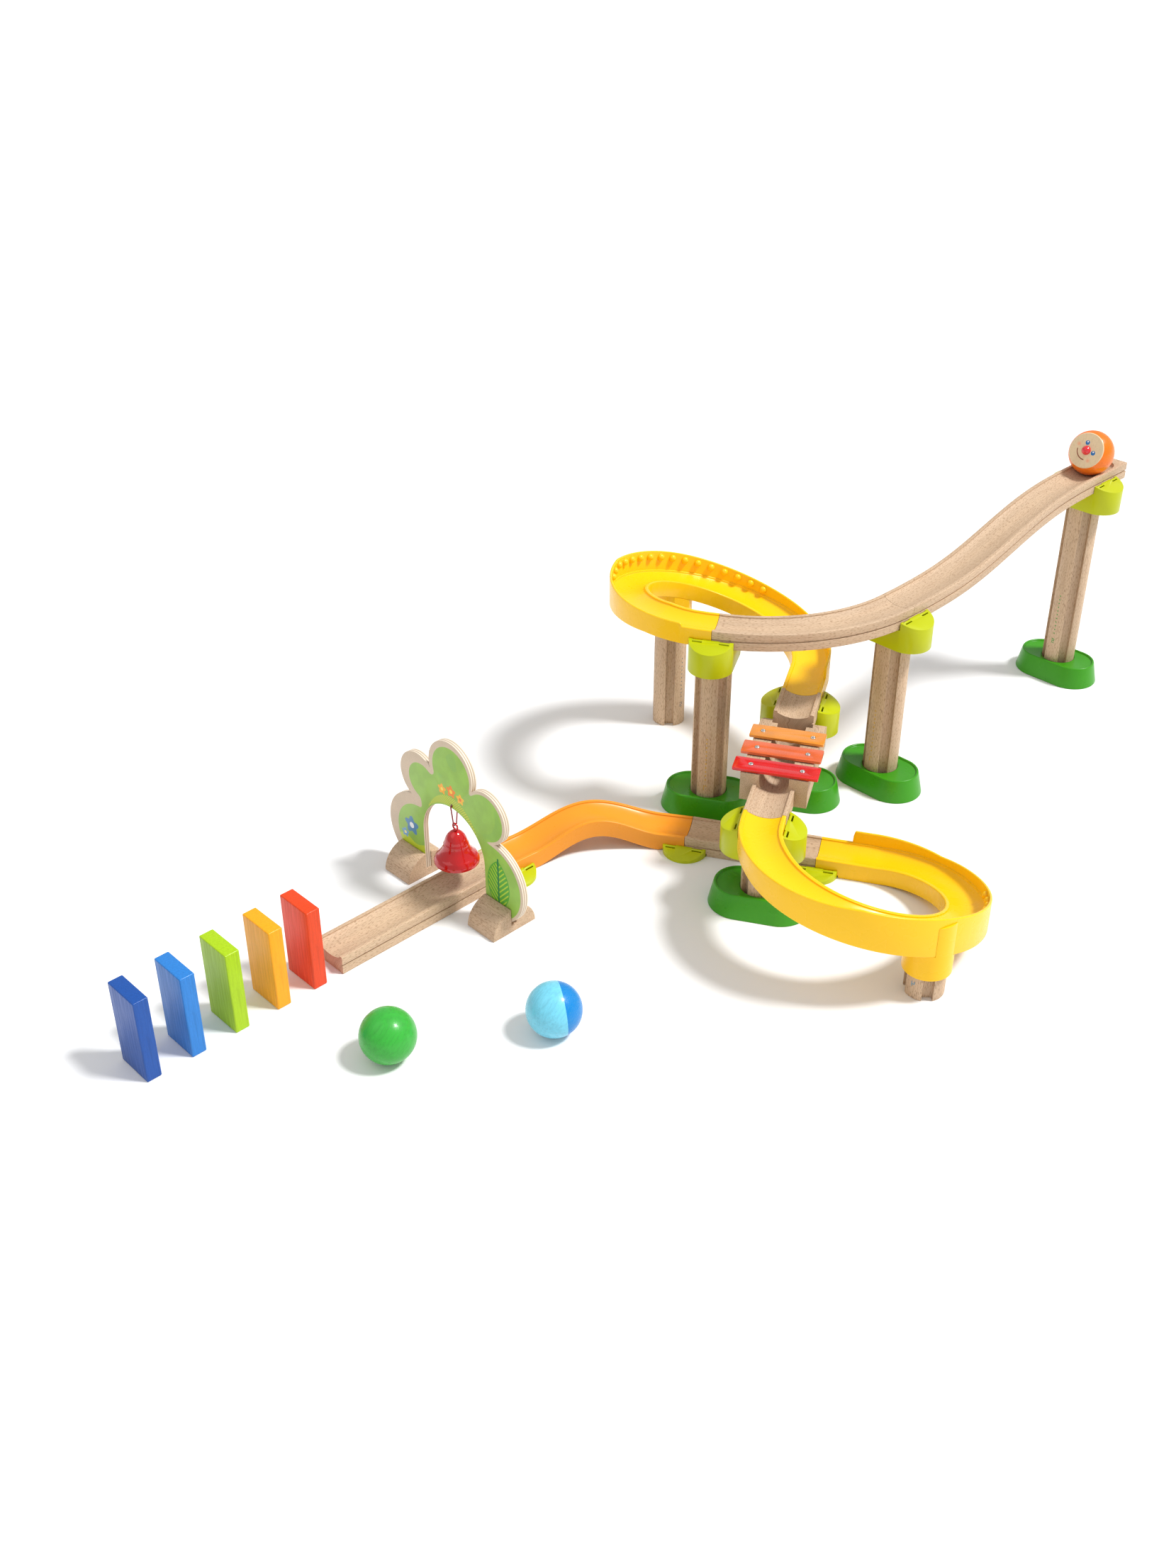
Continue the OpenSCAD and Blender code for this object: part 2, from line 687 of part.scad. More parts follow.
module chime_screws() {
  dome_r = (screw_head_r * screw_head_r + screw_head_h * screw_head_h) / (2 * screw_head_h);
  color("#c9ccd0") place(at_chime, bar_z + bar_t + glue)
    for (i = bars, s = [-1, 1]) translate([bar_at(i), s * screw_y, 0]) {
      translate([0, 0, -screw_in]) cylinder(r = screw_r, h = screw_in + screw_head_h / 2, $fn = 32);
      intersection() {
        translate([0, 0, screw_head_h - dome_r]) sphere(r = dome_r, $fn = 48);
        cylinder(r = screw_head_r, h = screw_head_h, $fn = 48);
      }
    }
}

// ---- Arch ----
leg_z = block_r - slot_d;
foot_in = gate_r - 1;
cloud_top = [0, 129, 28];
cloud_side = [44, 103, 24.5];
cloud_low = [50, 42, 39];
cloud_core = [0, 80, 43];
cord_hole_r = 1.4;
web = 1.2;
cord_hole_z = gate_z + gate_r + web + cord_hole_r;
module arch_outline() {
  difference() {
    union() {
      translate([cloud_top[0], cloud_top[1]]) circle(r = cloud_top[2], $fn = 96);
      for (s = [-1, 1], c = [cloud_side, cloud_low])
        translate([s * c[0], c[1]]) circle(r = c[2], $fn = 96);
      translate([cloud_core[0], cloud_core[1]]) circle(r = cloud_core[2], $fn = 96);
    }
    translate([-2 * gate_r - cloud_low[2], -cloud_low[2]])
      square([2 * (2 * gate_r + cloud_low[2]), cloud_low[2] + leg_z]);
    translate([0, gate_z]) circle(r = gate_r, $fn = 120);
    translate([-gate_r, -1]) square([2 * gate_r, gate_z + 1]);
    translate([0, cord_hole_z]) circle(r = cord_hole_r, $fn = 32);
  }
}
module arch_panel() {
  color("#93b858") place(at_arch) translate([-ply_t / 2, 0, 0]) rotate([90, 0, 90])
    linear_extrude(ply_t) arch_outline();
}
// s is 1 for the foot on the left of the track and -1 for the one on its right.
module arch_foot(s) {
  slot_w = ply_t + 2 * slot_gap;
  color(BEECH) place(at_arch) translate([0, s > 0 ? foot_in : -foot_in - arch_foot_w, 0])
    difference() {
      translate([0, arch_foot_w, 0]) rotate([90, 0, 0])
        cylinder(r = block_r, h = arch_foot_w, $fn = 120);
      translate([-2 * block_r, -1, -2 * block_r])
        cube([4 * block_r, arch_foot_w + 2, 2 * block_r]);
      translate([-slot_w / 2, -1, leg_z]) cube([slot_w, arch_foot_w + 2, 2 * block_r]);
    }
}
module arch_foot_near() arch_foot(1);
module arch_foot_far() arch_foot(-1);

// ---- Bell: it hangs by its eye on a loop of cord through the arch ----
cord_r = cord_d / 2;
slack = 0.1;
cord_top_z = cord_hole_z - cord_hole_r + cord_r + slack;
bell_z = 36.5;
eye_r = 3;
eye_wire_r = 0.8;
eye_sink = 0.4;
crown_z = bell_z + bell_h;
eye_z = crown_z + eye_sink + eye_r + eye_wire_r;
eye_top_z = eye_z + eye_r;
cord_low_z = eye_top_z - eye_wire_r - cord_r - slack;
cord_wide = ply_t / 2 + cord_r + 0.3;
cord_narrow = eye_wire_r + cord_r + 0.3;
// A closed loop of cord in the plane y = 0, swept along points [x, z] with 8 sides.
module cord_loop(route, r) {
  n = len(route);
  sides = 8;
  rings = [for (i = [0 : n - 1]) let (p = route[i], a = route[(i + n - 1) % n],
      b = route[(i + 1) % n], along = (b - a) / norm(b - a), out = [along[1], -along[0]])
    for (k = [0 : sides - 1]) let (t = 360 * k / sides)
      [p[0] + r * cos(t) * out[0], r * sin(t), p[1] + r * cos(t) * out[1]]];
  faces = [for (i = [0 : n - 1]) for (k = [0 : sides - 1])
    each let (a = i * sides + k, b = i * sides + (k + 1) % sides,
        c = (i + 1) % n * sides + k, d = (i + 1) % n * sides + (k + 1) % sides)
      [[a, b, c], [b, d, c]]];
  polyhedron(rings, faces);
}
module bell_cord() {
  turn_r = 1.2;
  high = cord_top_z - cord_wide * 0.28;
  half = concat(
    [[cord_wide - turn_r, cord_top_z], [cord_wide - 0.3 * turn_r, cord_top_z - 0.3 * turn_r],
     [cord_wide, cord_top_z - turn_r]],
    [for (t = [0.25, 0.5, 0.75]) [cord_wide + (cord_narrow - cord_wide) * t,
      high + (cord_low_z + turn_r - high) * t]],
    [[cord_narrow, cord_low_z + turn_r], [cord_narrow - 0.3 * turn_r, cord_low_z + 0.3 * turn_r],
     [cord_narrow - turn_r, cord_low_z]]);
  n = len(half);
  route = concat(half, [for (i = [n - 1 : -1 : 0]) [-half[i][0], half[i][1]]]);
  color("#b0182a") place(at_arch) cord_loop(route, cord_r);
}
module bell_eye() {
  stem_r = 1.6;
  color("#8a0f18") place(at_arch) {
    translate([0, 0, eye_z]) rotate([0, 90, 0])
      rotate_extrude($fn = 48) translate([eye_r, 0]) circle(r = eye_wire_r, $fn = 24);
    translate([0, 0, crown_z + glue]) cylinder(r = stem_r, h = eye_sink + eye_wire_r, $fn = 32);
  }
}
// The bell's outer line as shares of its mouth's radius and of its height.
bell_line = [[1, 0], [1, 0.06], [0.94, 0.16], [0.8, 0.27], [0.66, 0.4], [0.575, 0.52],
             [0.51, 0.66], [0.45, 0.78], [0.36, 0.88], [0.24, 0.96], [0.14, 1]];
module bell_shell() {
  outer = [for (q = bell_line) [q[0] * bell_r, q[1] * bell_h]];
  inner = [for (q = bell_line) [max(0.5, q[0] * bell_r - bell_t), q[1] * (bell_h - bell_t)]];
  n = len(bell_line);
  color("#b5121b") place(at_arch, bell_z) rotate_extrude($fn = 96)
    polygon(concat(outer, [[0, bell_h], [0, bell_h - bell_t]],
                   [for (i = [n - 1 : -1 : 0]) inner[i]]));
}
clapper_ball_r = 4;
clapper_rod_r = 0.9;
clapper_top_z = crown_z - bell_t - 1.2;
clapper_ball_z = bell_z + 5;
module bell_clapper() {
  color("#c9ccd0") place(at_arch) {
    translate([0, 0, clapper_ball_z]) cylinder(r = clapper_rod_r,
      h = clapper_top_z - clapper_ball_z, $fn = 24);
    translate([0, 0, clapper_ball_z]) sphere(r = clapper_ball_r, $fn = 48);
  }
}

// ---- Dominoes, counted from the end of the long floor track ----
domino_edge = 0.9;
module domino(i) {
  x = domino_gap + domino_t / 2 + (i > 0 ? domino_first + domino_pitch * (i - 1) : 0);
  e = domino_edge;
  place(ahead(at_end, x)) rotate([90, 0, 90]) translate([0, 0, -domino_t / 2])
    linear_extrude(domino_t)
      polygon([[-domino_w / 2 + e, 0], [domino_w / 2 - e, 0], [domino_w / 2, e],
               [domino_w / 2, domino_h - e], [domino_w / 2 - e, domino_h],
               [-domino_w / 2 + e, domino_h], [-domino_w / 2, domino_h - e],
               [-domino_w / 2, e]]);
}
module domino_red() color("#e8501a") domino(0);
module domino_amber() color("#ffb400") domino(1);
module domino_lime() color("#a0c814") domino(2);
module domino_blue() color("#2f82c6") domino(3);
module domino_navy() color("#1b5ba8") domino(4);

// ---- Balls ----
ball_x = 3.7;
ball_z = z_start + hollow_z + ball_r + ball_gap;
face_turn = 3;
face_tilt = 26;
face_d = sqrt(ball_r * ball_r - face_r * face_r);
nose_r = 4.6;
green_at = [-904.7, 22.9];
sky_at = [-793.1, -43.8];
module face_frame() {
  place(ahead(at_start, ball_x), ball_z) rotate([0, 0, face_turn]) rotate([0, -face_tilt, 0])
    rotate([0, 90, 0]) children();
}
module ball_orange() {
  color("#f07a1a") face_frame() difference() {
    sphere(r = ball_r, $fn = 120);
    translate([-ball_r, -ball_r, face_d]) cube(2 * ball_r);
  }
}
module ball_nose() {
  color("#e5171b") face_frame() translate([0, 0, face_d + glue]) difference() {
    sphere(r = nose_r, $fn = 48);
    translate([-nose_r, -nose_r, -2 * nose_r]) cube(2 * nose_r);
  }
}
module floor_ball(p) {
  translate([p[0], p[1], ball_r]) sphere(r = ball_r, $fn = 120);
}
module ball_green() color("#3daf3a") floor_ball(green_at);
module ball_sky() color("#6cc5df") floor_ball(sky_at);

start_ramp();
upper_bend();
upper_loop();
upper_loop_beads();
upper_loop_socket();
lower_loop();
lower_loop_beads();
lower_loop_socket();
hump_bend();
short_floor_track();
long_floor_track();
chime_block();
chime_upper_stub();
chime_lower_stub();
chime_felt();
chime_bar_amber();
chime_bar_orange();
chime_bar_red();
chime_screws();
connector_start();
connector_bend_in();
connector_bend_out();
connector_chime();
connector_front();
floor_link_loop();
floor_link_hump();
floor_link_long();
post_start();
post_bend_in();
post_bend_out();
post_loop_upper();
post_chime();
post_front();
post_loop_lower();
foot_start();
foot_bend_in();
foot_bend_out();
foot_chime();
foot_front();
arch_panel();
arch_foot_near();
arch_foot_far();
bell_cord();
bell_eye();
bell_shell();
bell_clapper();
domino_red();
domino_amber();
domino_lime();
domino_blue();
domino_navy();
ball_orange();
ball_nose();
ball_green();
ball_sky();
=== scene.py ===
"""Looks for a marble run: beech tracks on grooved posts, moulded loops, a bar chime,
an arch with a bell, five dominoes and three balls, all in the frame's metres."""
import math

import bmesh
import bpy
import numpy as np
from bpy.props import FloatProperty, FloatVectorProperty, IntProperty, PointerProperty
from mathutils import Matrix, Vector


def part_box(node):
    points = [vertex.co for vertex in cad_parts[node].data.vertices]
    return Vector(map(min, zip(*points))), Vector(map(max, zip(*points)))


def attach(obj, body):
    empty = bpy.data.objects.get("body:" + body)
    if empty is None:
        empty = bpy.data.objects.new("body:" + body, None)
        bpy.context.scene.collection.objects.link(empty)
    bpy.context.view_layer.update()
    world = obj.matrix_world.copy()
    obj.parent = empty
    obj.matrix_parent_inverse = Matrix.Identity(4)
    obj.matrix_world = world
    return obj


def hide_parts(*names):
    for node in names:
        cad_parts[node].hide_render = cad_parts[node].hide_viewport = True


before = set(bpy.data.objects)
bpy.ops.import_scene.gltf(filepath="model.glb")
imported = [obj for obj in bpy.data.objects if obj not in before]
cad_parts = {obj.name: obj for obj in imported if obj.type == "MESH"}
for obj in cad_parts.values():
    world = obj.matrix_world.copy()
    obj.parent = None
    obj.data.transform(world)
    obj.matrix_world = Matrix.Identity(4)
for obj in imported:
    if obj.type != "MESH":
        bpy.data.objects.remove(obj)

bl_info = {
    "name": "Marble Run",
    "version": (1, 0, 0),
    "blender": (4, 5, 0),
    "location": "3D View > Sidebar > Marble Run",
    "description": "Builds the looks of a wooden marble run on its packed frame",
    "category": "Object",
}

MM = 0.001
FIXED = "frame"


# ---------------------------------------------------------------- plan of the run
def ahead(place, along, left=0.0):
    """The place so far along and to the left of another: x, y in mm, a heading in degrees."""
    x, y, h = place
    c, s = math.cos(math.radians(h)), math.sin(math.radians(h))
    return (x + along * c - left * s, y + along * s + left * c, h)


def turned(place, angle):
    """The same place with its heading turned."""
    return (place[0], place[1], place[2] + angle)


def after_bend(place, radius, angle, turn):
    """The end of an arc of that radius to the left (turn 1) or right (turn -1)."""
    a = math.radians(angle)
    return turned(ahead(place, radius * math.sin(a), turn * radius * (1 - math.cos(a))),
                  turn * angle)


def after_loop(place, turn):
    """The end of a loop: a straight, three quarters of a circle and a longer straight."""
    return turned(ahead(place, LOOP_LEAD - LOOP_R, turn * (LOOP_R - LOOP_TAIL)), turn * 270)


# Sizes in mm, the same as the frame's.
TRACK_W, TRACK_H, RIM_W, RIM_STEP, HOLLOW_D = 37.0, 17.0, 3.6, 1.6, 4.0
SLIT_Z, SLIT_H, SLIT_D, SEAM = 8.0, 1.4, 1.3, 0.4
RAMP_L, RAMP_TAIL, BEND_R, BEND_A = 318.0, 40.0, 175.0, 60.0
LOOP_LEAD, LOOP_R, LOOP_TAIL = 12.0, 88.0, 48.0
CHIME_L, SHORT_L, LONG_L, ARCH_X = 180.0, 120.0, 192.0, 52.0
LEVEL = 20.0
Z_START, Z_BEND, Z_CHIME, Z_FRONT = 11 * LEVEL, 9 * LEVEL, 5 * LEVEL, 4 * LEVEL
WALL, SKIN, FENCE_TOP, FENCE_LOW = 2.4, 2.6, 20.2, 29.0
WING_R, GAP, PLATE_T = 20.5, 0.25, 2.0
HUMP_H = 17.0
BALL_R, FACE_R = 22.5, 17.4
# The chime: its block's start and length, and its bars from the block's start.
BLOCK_AT, BLOCK_L, STUB_IN, BLOCK_H = 30.5, 109.0, 13.5, 27.0
FELT_T, BAR_T, BAR_1, BAR_STEP, SCREW_Y = 1.0, 2.4, 40.5, 29.0, 22.5
HOLLOW_HALF = TRACK_W / 2 - RIM_W
HOLLOW_TOP = TRACK_H - RIM_STEP
HOLLOW_Z = HOLLOW_TOP - HOLLOW_D
HOLLOW_R = (HOLLOW_HALF ** 2 + HOLLOW_D ** 2) / (2 * HOLLOW_D)
REBATE_L, REBATE_H = WING_R + 2 * GAP, PLATE_T + GAP

AT_START = (0.0, 0.0, 180.0)
AT_BEND_IN = ahead(AT_START, RAMP_L)
AT_BEND_OUT = after_bend(AT_BEND_IN, BEND_R, BEND_A, -1)
AT_CHIME = after_loop(AT_BEND_OUT, -1)
AT_FRONT = ahead(AT_CHIME, CHIME_L)
AT_LINK_LOOP = after_loop(AT_FRONT, 1)
AT_LINK_HUMP = ahead(AT_LINK_LOOP, SHORT_L)
AT_LINK_LONG = after_bend(AT_LINK_HUMP, BEND_R, BEND_A, 1)
AT_ARCH = ahead(AT_LINK_LONG, ARCH_X)


# ---------------------------------------------------------------- settings
def colour(name, text, default):
    """A colour setting, given as sRGB bytes."""
    return FloatVectorProperty(name=name, description=text, subtype="COLOR", size=3,
                               default=[linear(c) for c in default], min=0, max=1)


def linear(byte):
    """An sRGB byte as a linear share of light."""
    c = byte / 255
    return c / 12.92 if c <= 0.04045 else ((c + 0.055) / 1.055) ** 2.4


class RUN_PG_wood(bpy.types.PropertyGroup):
    """Beech and the paints on it."""
    beech: colour("Beech", "Colour of the bare beech", (203, 175, 145))
    beech_dark: colour("Beech fleck", "Colour of the beech's darker flecks", (166, 130, 98))
    edge_round: FloatProperty(name="Edge rounding", description="Rounding of the tracks' edges",
                              default=0.9, min=0.2, max=2.0, unit="NONE")
    red: colour("Red paint", "Paint of the first domino", (222, 66, 14))
    amber: colour("Amber paint", "Paint of the second domino", (246, 164, 8))
    lime: colour("Lime paint", "Paint of the third domino", (164, 200, 6))
    blue: colour("Blue paint", "Paint of the fourth domino", (38, 122, 200))
    navy: colour("Navy paint", "Paint of the fifth domino", (18, 76, 156))
    ball_orange: colour("Orange ball", "Paint of the ball with a face", (240, 118, 12))
    ball_green: colour("Green ball", "Paint of the green ball", (56, 168, 58))
    ball_sky: colour("Sky ball", "Paint of most of the blue ball", (116, 202, 226))
    ball_blue: colour("Deep blue", "Paint of the blue ball's cap", (10, 126, 200))


class RUN_PG_plastic(bpy.types.PropertyGroup):
    """Moulded pieces."""
    lime: colour("Lime", "Colour of the connectors", (184, 192, 0))
    green: colour("Green", "Colour of the feet", (58, 148, 18))
    yellow: colour("Yellow", "Colour of the loops", (252, 198, 14))
    orange: colour("Orange", "Colour of the hump bend", (236, 150, 38))
    loop_steps: IntProperty(name="Loop steps", description="Stations along a loop",
                            default=150, min=60, max=300)


class RUN_PG_parts(bpy.types.PropertyGroup):
    """Chime, arch and bell."""
    bar_amber: colour("Amber bar", "Lacquer of the first bar", (232, 146, 50))
    bar_orange: colour("Orange bar", "Lacquer of the second bar", (226, 104, 58))
    bar_red: colour("Red bar", "Lacquer of the third bar", (214, 18, 30))
    bell_red: colour("Bell red", "Enamel of the bell", (186, 8, 14))
    cord_red: colour("Cord red", "Colour of the bell's cord", (176, 24, 42))
    leaf_green: colour("Leaf green", "Ground colour of the arch's print", (146, 190, 76))
    ply_edge: FloatProperty(name="Ply layer", description="Thickness of one layer of the arch",
                            default=1.12 * MM, min=0.5 * MM, max=3 * MM, unit="LENGTH")


# ---------------------------------------------------------------- shader sockets
class Sock:
    """An output socket of one material; Python's operators add Math nodes to its tree."""

    def __init__(self, finish, socket):
        self.finish = finish
        self.socket = socket

    def math(self, operation, *others, clamp=False):
        return self.finish.node("ShaderNodeMath", {"operation": operation, "use_clamp": clamp},
                                {i: v for i, v in enumerate((self,) + others)})

    def reversed_math(self, operation, other):
        return self.finish.node("ShaderNodeMath", {"operation": operation}, {0: other, 1: self})

    def __add__(self, o): return self.math("ADD", o)
    def __radd__(self, o): return self.math("ADD", o)
    def __sub__(self, o): return self.math("SUBTRACT", o)
    def __rsub__(self, o): return self.reversed_math("SUBTRACT", o)
    def __mul__(self, o): return self.math("MULTIPLY", o)
    def __rmul__(self, o): return self.math("MULTIPLY", o)
    def __truediv__(self, o): return self.math("DIVIDE", o)
    def __rtruediv__(self, o): return self.reversed_math("DIVIDE", o)
    def __neg__(self): return self.math("MULTIPLY", -1.0)
    def __pow__(self, o): return self.math("POWER", o)
    def __abs__(self): return self.math("ABSOLUTE")

    def most(self, o): return self.math("MAXIMUM", o)
    def sin(self): return self.math("SINE")
    def sqrt(self): return self.math("SQRT")
    def over(self, o): return self.math("GREATER_THAN", o)
    def under(self, o): return self.math("LESS_THAN", o)
    def wrap(self, o): return self.math("FLOORED_MODULO", o)

    def ramp(self, low, high, a=0.0, b=1.0):
        """a below low, b above high, and smooth between them."""
        return self.finish.node("ShaderNodeMapRange", {"interpolation_type": "SMOOTHSTEP"},
                                {0: self, 1: low, 2: high, 3: a, 4: b})


class Finish:
    """One material: its tree, its Principled shader, and a method that adds any node."""

    def __init__(self, name, **fixed):
        self.material = bpy.data.materials.new(name)
        self.material.use_nodes = True
        self.tree = self.material.node_tree
        self.shader = self.tree.nodes["Principled BSDF"]
        for key, value in fixed.items():
            self.shader.inputs[key.replace("_", " ")].default_value = value

    def node(self, kind, settings=None, inputs=None, out=0):
        made = self.tree.nodes.new(kind)
        for key, value in (settings or {}).items():
            setattr(made, key, value)
        for key, value in (inputs or {}).items():
            if isinstance(value, Sock):
                self.tree.links.new(value.socket, made.inputs[key])
            else:
                made.inputs[key].default_value = value
        return Sock(self, made.outputs[out])

    def give(self, **varying):
        """Joins sockets to the shader's inputs, such as Base_Color or Roughness."""
        for key, value in varying.items():
            self.tree.links.new(value.socket, self.shader.inputs[key.replace("_", " ")])

    def place(self, turn=(0, 0, 0), centre=(0, 0, 0), uv=False):
        """Object or UV coordinates, centred on a point and then turned."""
        source = self.node("ShaderNodeTexCoord", out=2 if uv else 3)
        moved = self.node("ShaderNodeVectorMath", {"operation": "SUBTRACT"},
                          {0: source, 1: centre})
        return self.node("ShaderNodeVectorRotate", {"rotation_type": "EULER_XYZ"},
                         {"Vector": moved, "Rotation": [math.radians(a) for a in turn]})

    def parts(self, vector):
        """The x, y and z of a vector."""
        split = self.tree.nodes.new("ShaderNodeSeparateXYZ")
        self.tree.links.new(vector.socket, split.inputs[0])
        return [Sock(self, split.outputs[i]) for i in range(3)]

    def stretched(self, vector, x, y, z):
        """The vector with each of its parts multiplied."""
        return self.node("ShaderNodeVectorMath", {"operation": "MULTIPLY"},
                         {0: vector, 1: (x, y, z)})

    def noise(self, vector, scale=1.0, detail=2.0, rough=0.5):
        return self.node("ShaderNodeTexNoise", {},
                         {"Vector": vector, "Scale": scale, "Detail": detail,
                          "Roughness": rough})

    def mix(self, share, a, b):
        """Colour a where the share is 0, colour b where it is 1."""
        return self.node("ShaderNodeMix", {"data_type": "RGBA"}, {
            0: share, 6: a if isinstance(a, Sock) else (*a[:3], 1),
            7: b if isinstance(b, Sock) else (*b[:3], 1)}, out=2)

    def bump(self, height, depth, strength=0.6):
        """Height 0 to 1 as bumps that are depth metres high."""
        self.give(Normal=self.node("ShaderNodeBump", {}, {
            "Strength": strength, "Distance": depth, "Height": height}))


def tone(c, k):
    """A colour made lighter or darker."""
    return tuple(min(1.0, v * k) for v in c[:3])


def beech_layers(f, grain):
    """Beech from coordinates whose x runs along the grain: soft bands, fine pores and the
    short dark flecks that beech shows. Returns the colour and the height of the surface."""
    wood = bpy.context.scene.run_wood
    light, dark = tuple(wood.beech), tuple(wood.beech_dark)
    bands = f.noise(f.stretched(grain, 5.0, 90.0, 90.0), 1.0, 3.0, 0.55)
    lines = f.noise(f.stretched(grain, 22.0, 900.0, 900.0), 1.0, 2.0, 0.6)
    flecks = f.noise(f.stretched(grain, 330.0, 1500.0, 1500.0), 1.0, 0.0).ramp(0.56, 0.70)
    pores = f.noise(f.stretched(grain, 700.0, 6000.0, 6000.0), 1.0, 0.0).ramp(0.35, 0.75)
    base = f.mix(bands.ramp(0.3, 0.7), tone(light, 1.06), tone(light, 0.9))
    lined = f.mix(lines.ramp(0.45, 0.8, 0.0, 0.45), base, dark)
    colour_out = f.mix(flecks * 0.6, lined, tone(dark, 0.8))
    height = pores * 0.4 + lines * 0.5 - flecks * 0.4
    return colour_out, height


def beech(name, turn=(0, 0, 0), centre=(0, 0, 0), uv=False, marks=None):
    """Bare, sanded beech. marks(f, colour) may paint on the wood."""
    f = Finish(name, Specular_IOR_Level=0.35)
    grain = f.place(turn, centre, uv)
    paint, height = beech_layers(f, grain)
    if marks:
        paint = marks(f, paint)
    rough = f.noise(f.stretched(grain, 30.0, 300.0, 300.0), 1.0, 2.0).ramp(0.3, 0.7, 0.46, 0.62)
    f.give(Base_Color=paint, Roughness=rough)
    f.bump(height, 0.00012, 0.5)
    return f.material


def moulded(name, shade, rough=0.3, depth=0.00002):
    """Moulded plastic: a fine orange-peel skin, slightly uneven gloss and colour."""
    f = Finish(name, Specular_IOR_Level=0.32)
    spot = f.place()
    broad = f.noise(spot, 14.0, 3.0)
    skin = f.noise(spot, 900.0, 2.0)
    f.give(Base_Color=f.mix(broad.ramp(0.3, 0.7), tone(shade, 0.98), tone(shade, 1.02)),
           Roughness=f.noise(spot, 60.0, 4.0).ramp(0.3, 0.7, rough - 0.04, rough + 0.06))
    f.bump(skin, depth, 0.2)
    return f.material


def painted(name, shade, turn=(0, 0, 0), centre=(0, 0, 0), gloss=0.3, cap=None):
    """Stained and lacquered wood: the grain shows faintly in colour and relief. cap(f, paint)
    may add a second colour."""
    f = Finish(name, Coat_Weight=0.12, Coat_Roughness=0.1, Specular_IOR_Level=0.3)
    grain = f.place(turn, centre)
    lines = f.noise(f.stretched(grain, 25.0, 700.0, 700.0), 1.0, 3.0, 0.6)
    flecks = f.noise(f.stretched(grain, 350.0, 2200.0, 2200.0), 1.0, 0.0).ramp(0.58, 0.72)
    paint = f.mix(lines.ramp(0.3, 0.75), tone(shade, 1.07), tone(shade, 0.86))
    if cap:
        paint = cap(f, paint)
    paint = f.mix(flecks * 0.22, paint, tone(shade, 0.6))
    f.give(Base_Color=paint, Roughness=lines.ramp(0.3, 0.7, gloss - 0.04, gloss + 0.12))
    f.bump(lines - flecks * 0.6, 0.00010, 0.4)
    return f.material


def lacquered(name, shade, metallic=0.35, rough=0.22):
    """Lacquered metal: a smooth coat over faint waves, with fine dust in its gloss."""
    f = Finish(name, Coat_Weight=0.5, Coat_Roughness=0.04, Metallic=metallic)
    spot = f.place()
    waves = f.noise(spot, 45.0, 2.0)
    dust = f.noise(spot, 1500.0, 1.0)
    f.give(Base_Color=f.mix(waves.ramp(0.35, 0.65), tone(shade, 0.94), tone(shade, 1.06)),
           Roughness=dust.ramp(0.3, 0.8, rough - 0.05, rough + 0.1))
    f.bump(waves + dust * 0.2, 0.00006, 0.3)
    return f.material


def steel(name, turn=(0, 0, 0), shade=(0.62, 0.62, 0.63)):
    """Bright plated steel with fine turning marks."""
    f = Finish(name, Metallic=1.0)
    spot = f.place(turn)
    marks = f.noise(f.stretched(spot, 300.0, 300.0, 4000.0), 1.0, 2.0)
    f.give(Base_Color=f.mix(marks.ramp(0.3, 0.7), tone(shade, 0.85), tone(shade, 1.15)),
           Roughness=f.noise(spot, 500.0, 2.0).ramp(0.3, 0.7, 0.16, 0.32))
    f.bump(marks, 0.00003, 0.4)
    return f.material


def felt(name, shade):
    """Pressed felt: matted fibres in colour and relief."""
    f = Finish(name, Sheen_Weight=0.4, Sheen_Roughness=0.5)
    spot = f.place()
    fibres = f.noise(f.noise(spot, 600.0, 3.0) * 3.0 + f.parts(spot)[0] * 900.0, 1.0, 3.0)
    mat = f.noise(spot, 2400.0, 3.0)
    f.give(Base_Color=f.mix(mat.ramp(0.3, 0.7), tone(shade, 0.7), tone(shade, 1.5)),
           Roughness=fibres.ramp(0.3, 0.7, 0.85, 0.97))
    f.bump(mat, 0.0003, 0.8)
    return f.material


def twisted_cord(name, shade):
    """Fine twisted cord: the UV map's u runs round the cord and v along it in metres."""
    f = Finish(name, Sheen_Weight=0.3)
    u, v, _ = f.parts(f.place(uv=True))
    strands = ((u * 3.0 + v * 420.0) * (2 * math.pi)).sin() * 0.5 + 0.5
    fuzz = f.noise(f.place(), 5200.0, 2.0)
    # Painted shade and light: the red is darker in the grooves between the twisted strands and
    # lighter on their crowns.
    f.give(Base_Color=f.mix(strands * fuzz * 1.4, tone(shade, 0.45), tone(shade, 1.25)),
           Roughness=fuzz.ramp(0.3, 0.7, 0.7, 0.9))
    f.bump(strands + fuzz * 0.3, 0.00018, 0.9)
    return f.material


# ---------------------------------------------------------------- surfaces
def grid_faces(n, m, wrap_n=False, wrap_m=True):
    """Quads of an n by m grid of points, row by row, joined round where asked."""
    rows = np.arange(n if wrap_n else n - 1)
    cols = np.arange(m if wrap_m else m - 1)
    i, j = np.meshgrid(rows, cols, indexing="ij")
    k, l = (i + 1) % n, (j + 1) % m
    return np.stack([i * m + j, k * m + j, k * m + l, i * m + l], -1).reshape(-1, 4)


def linked(name, data):
    """A new object of this data, in the scene's own collection."""
    obj = bpy.data.objects.new(name, data)
    bpy.context.scene.collection.objects.link(obj)
    return obj


def shaded(mesh, sharp, material):
    """Smooth faces that meet sharply above an angle in degrees, in one material."""
    mesh.polygons.foreach_set("use_smooth", [True] * len(mesh.polygons))
    mesh.set_sharp_from_angle(angle=math.radians(sharp))
    mesh.materials.append(material)


def node_box(node):
    """A CAD node's lowest and highest points in mm."""
    return [np.array(corner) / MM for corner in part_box(node)]


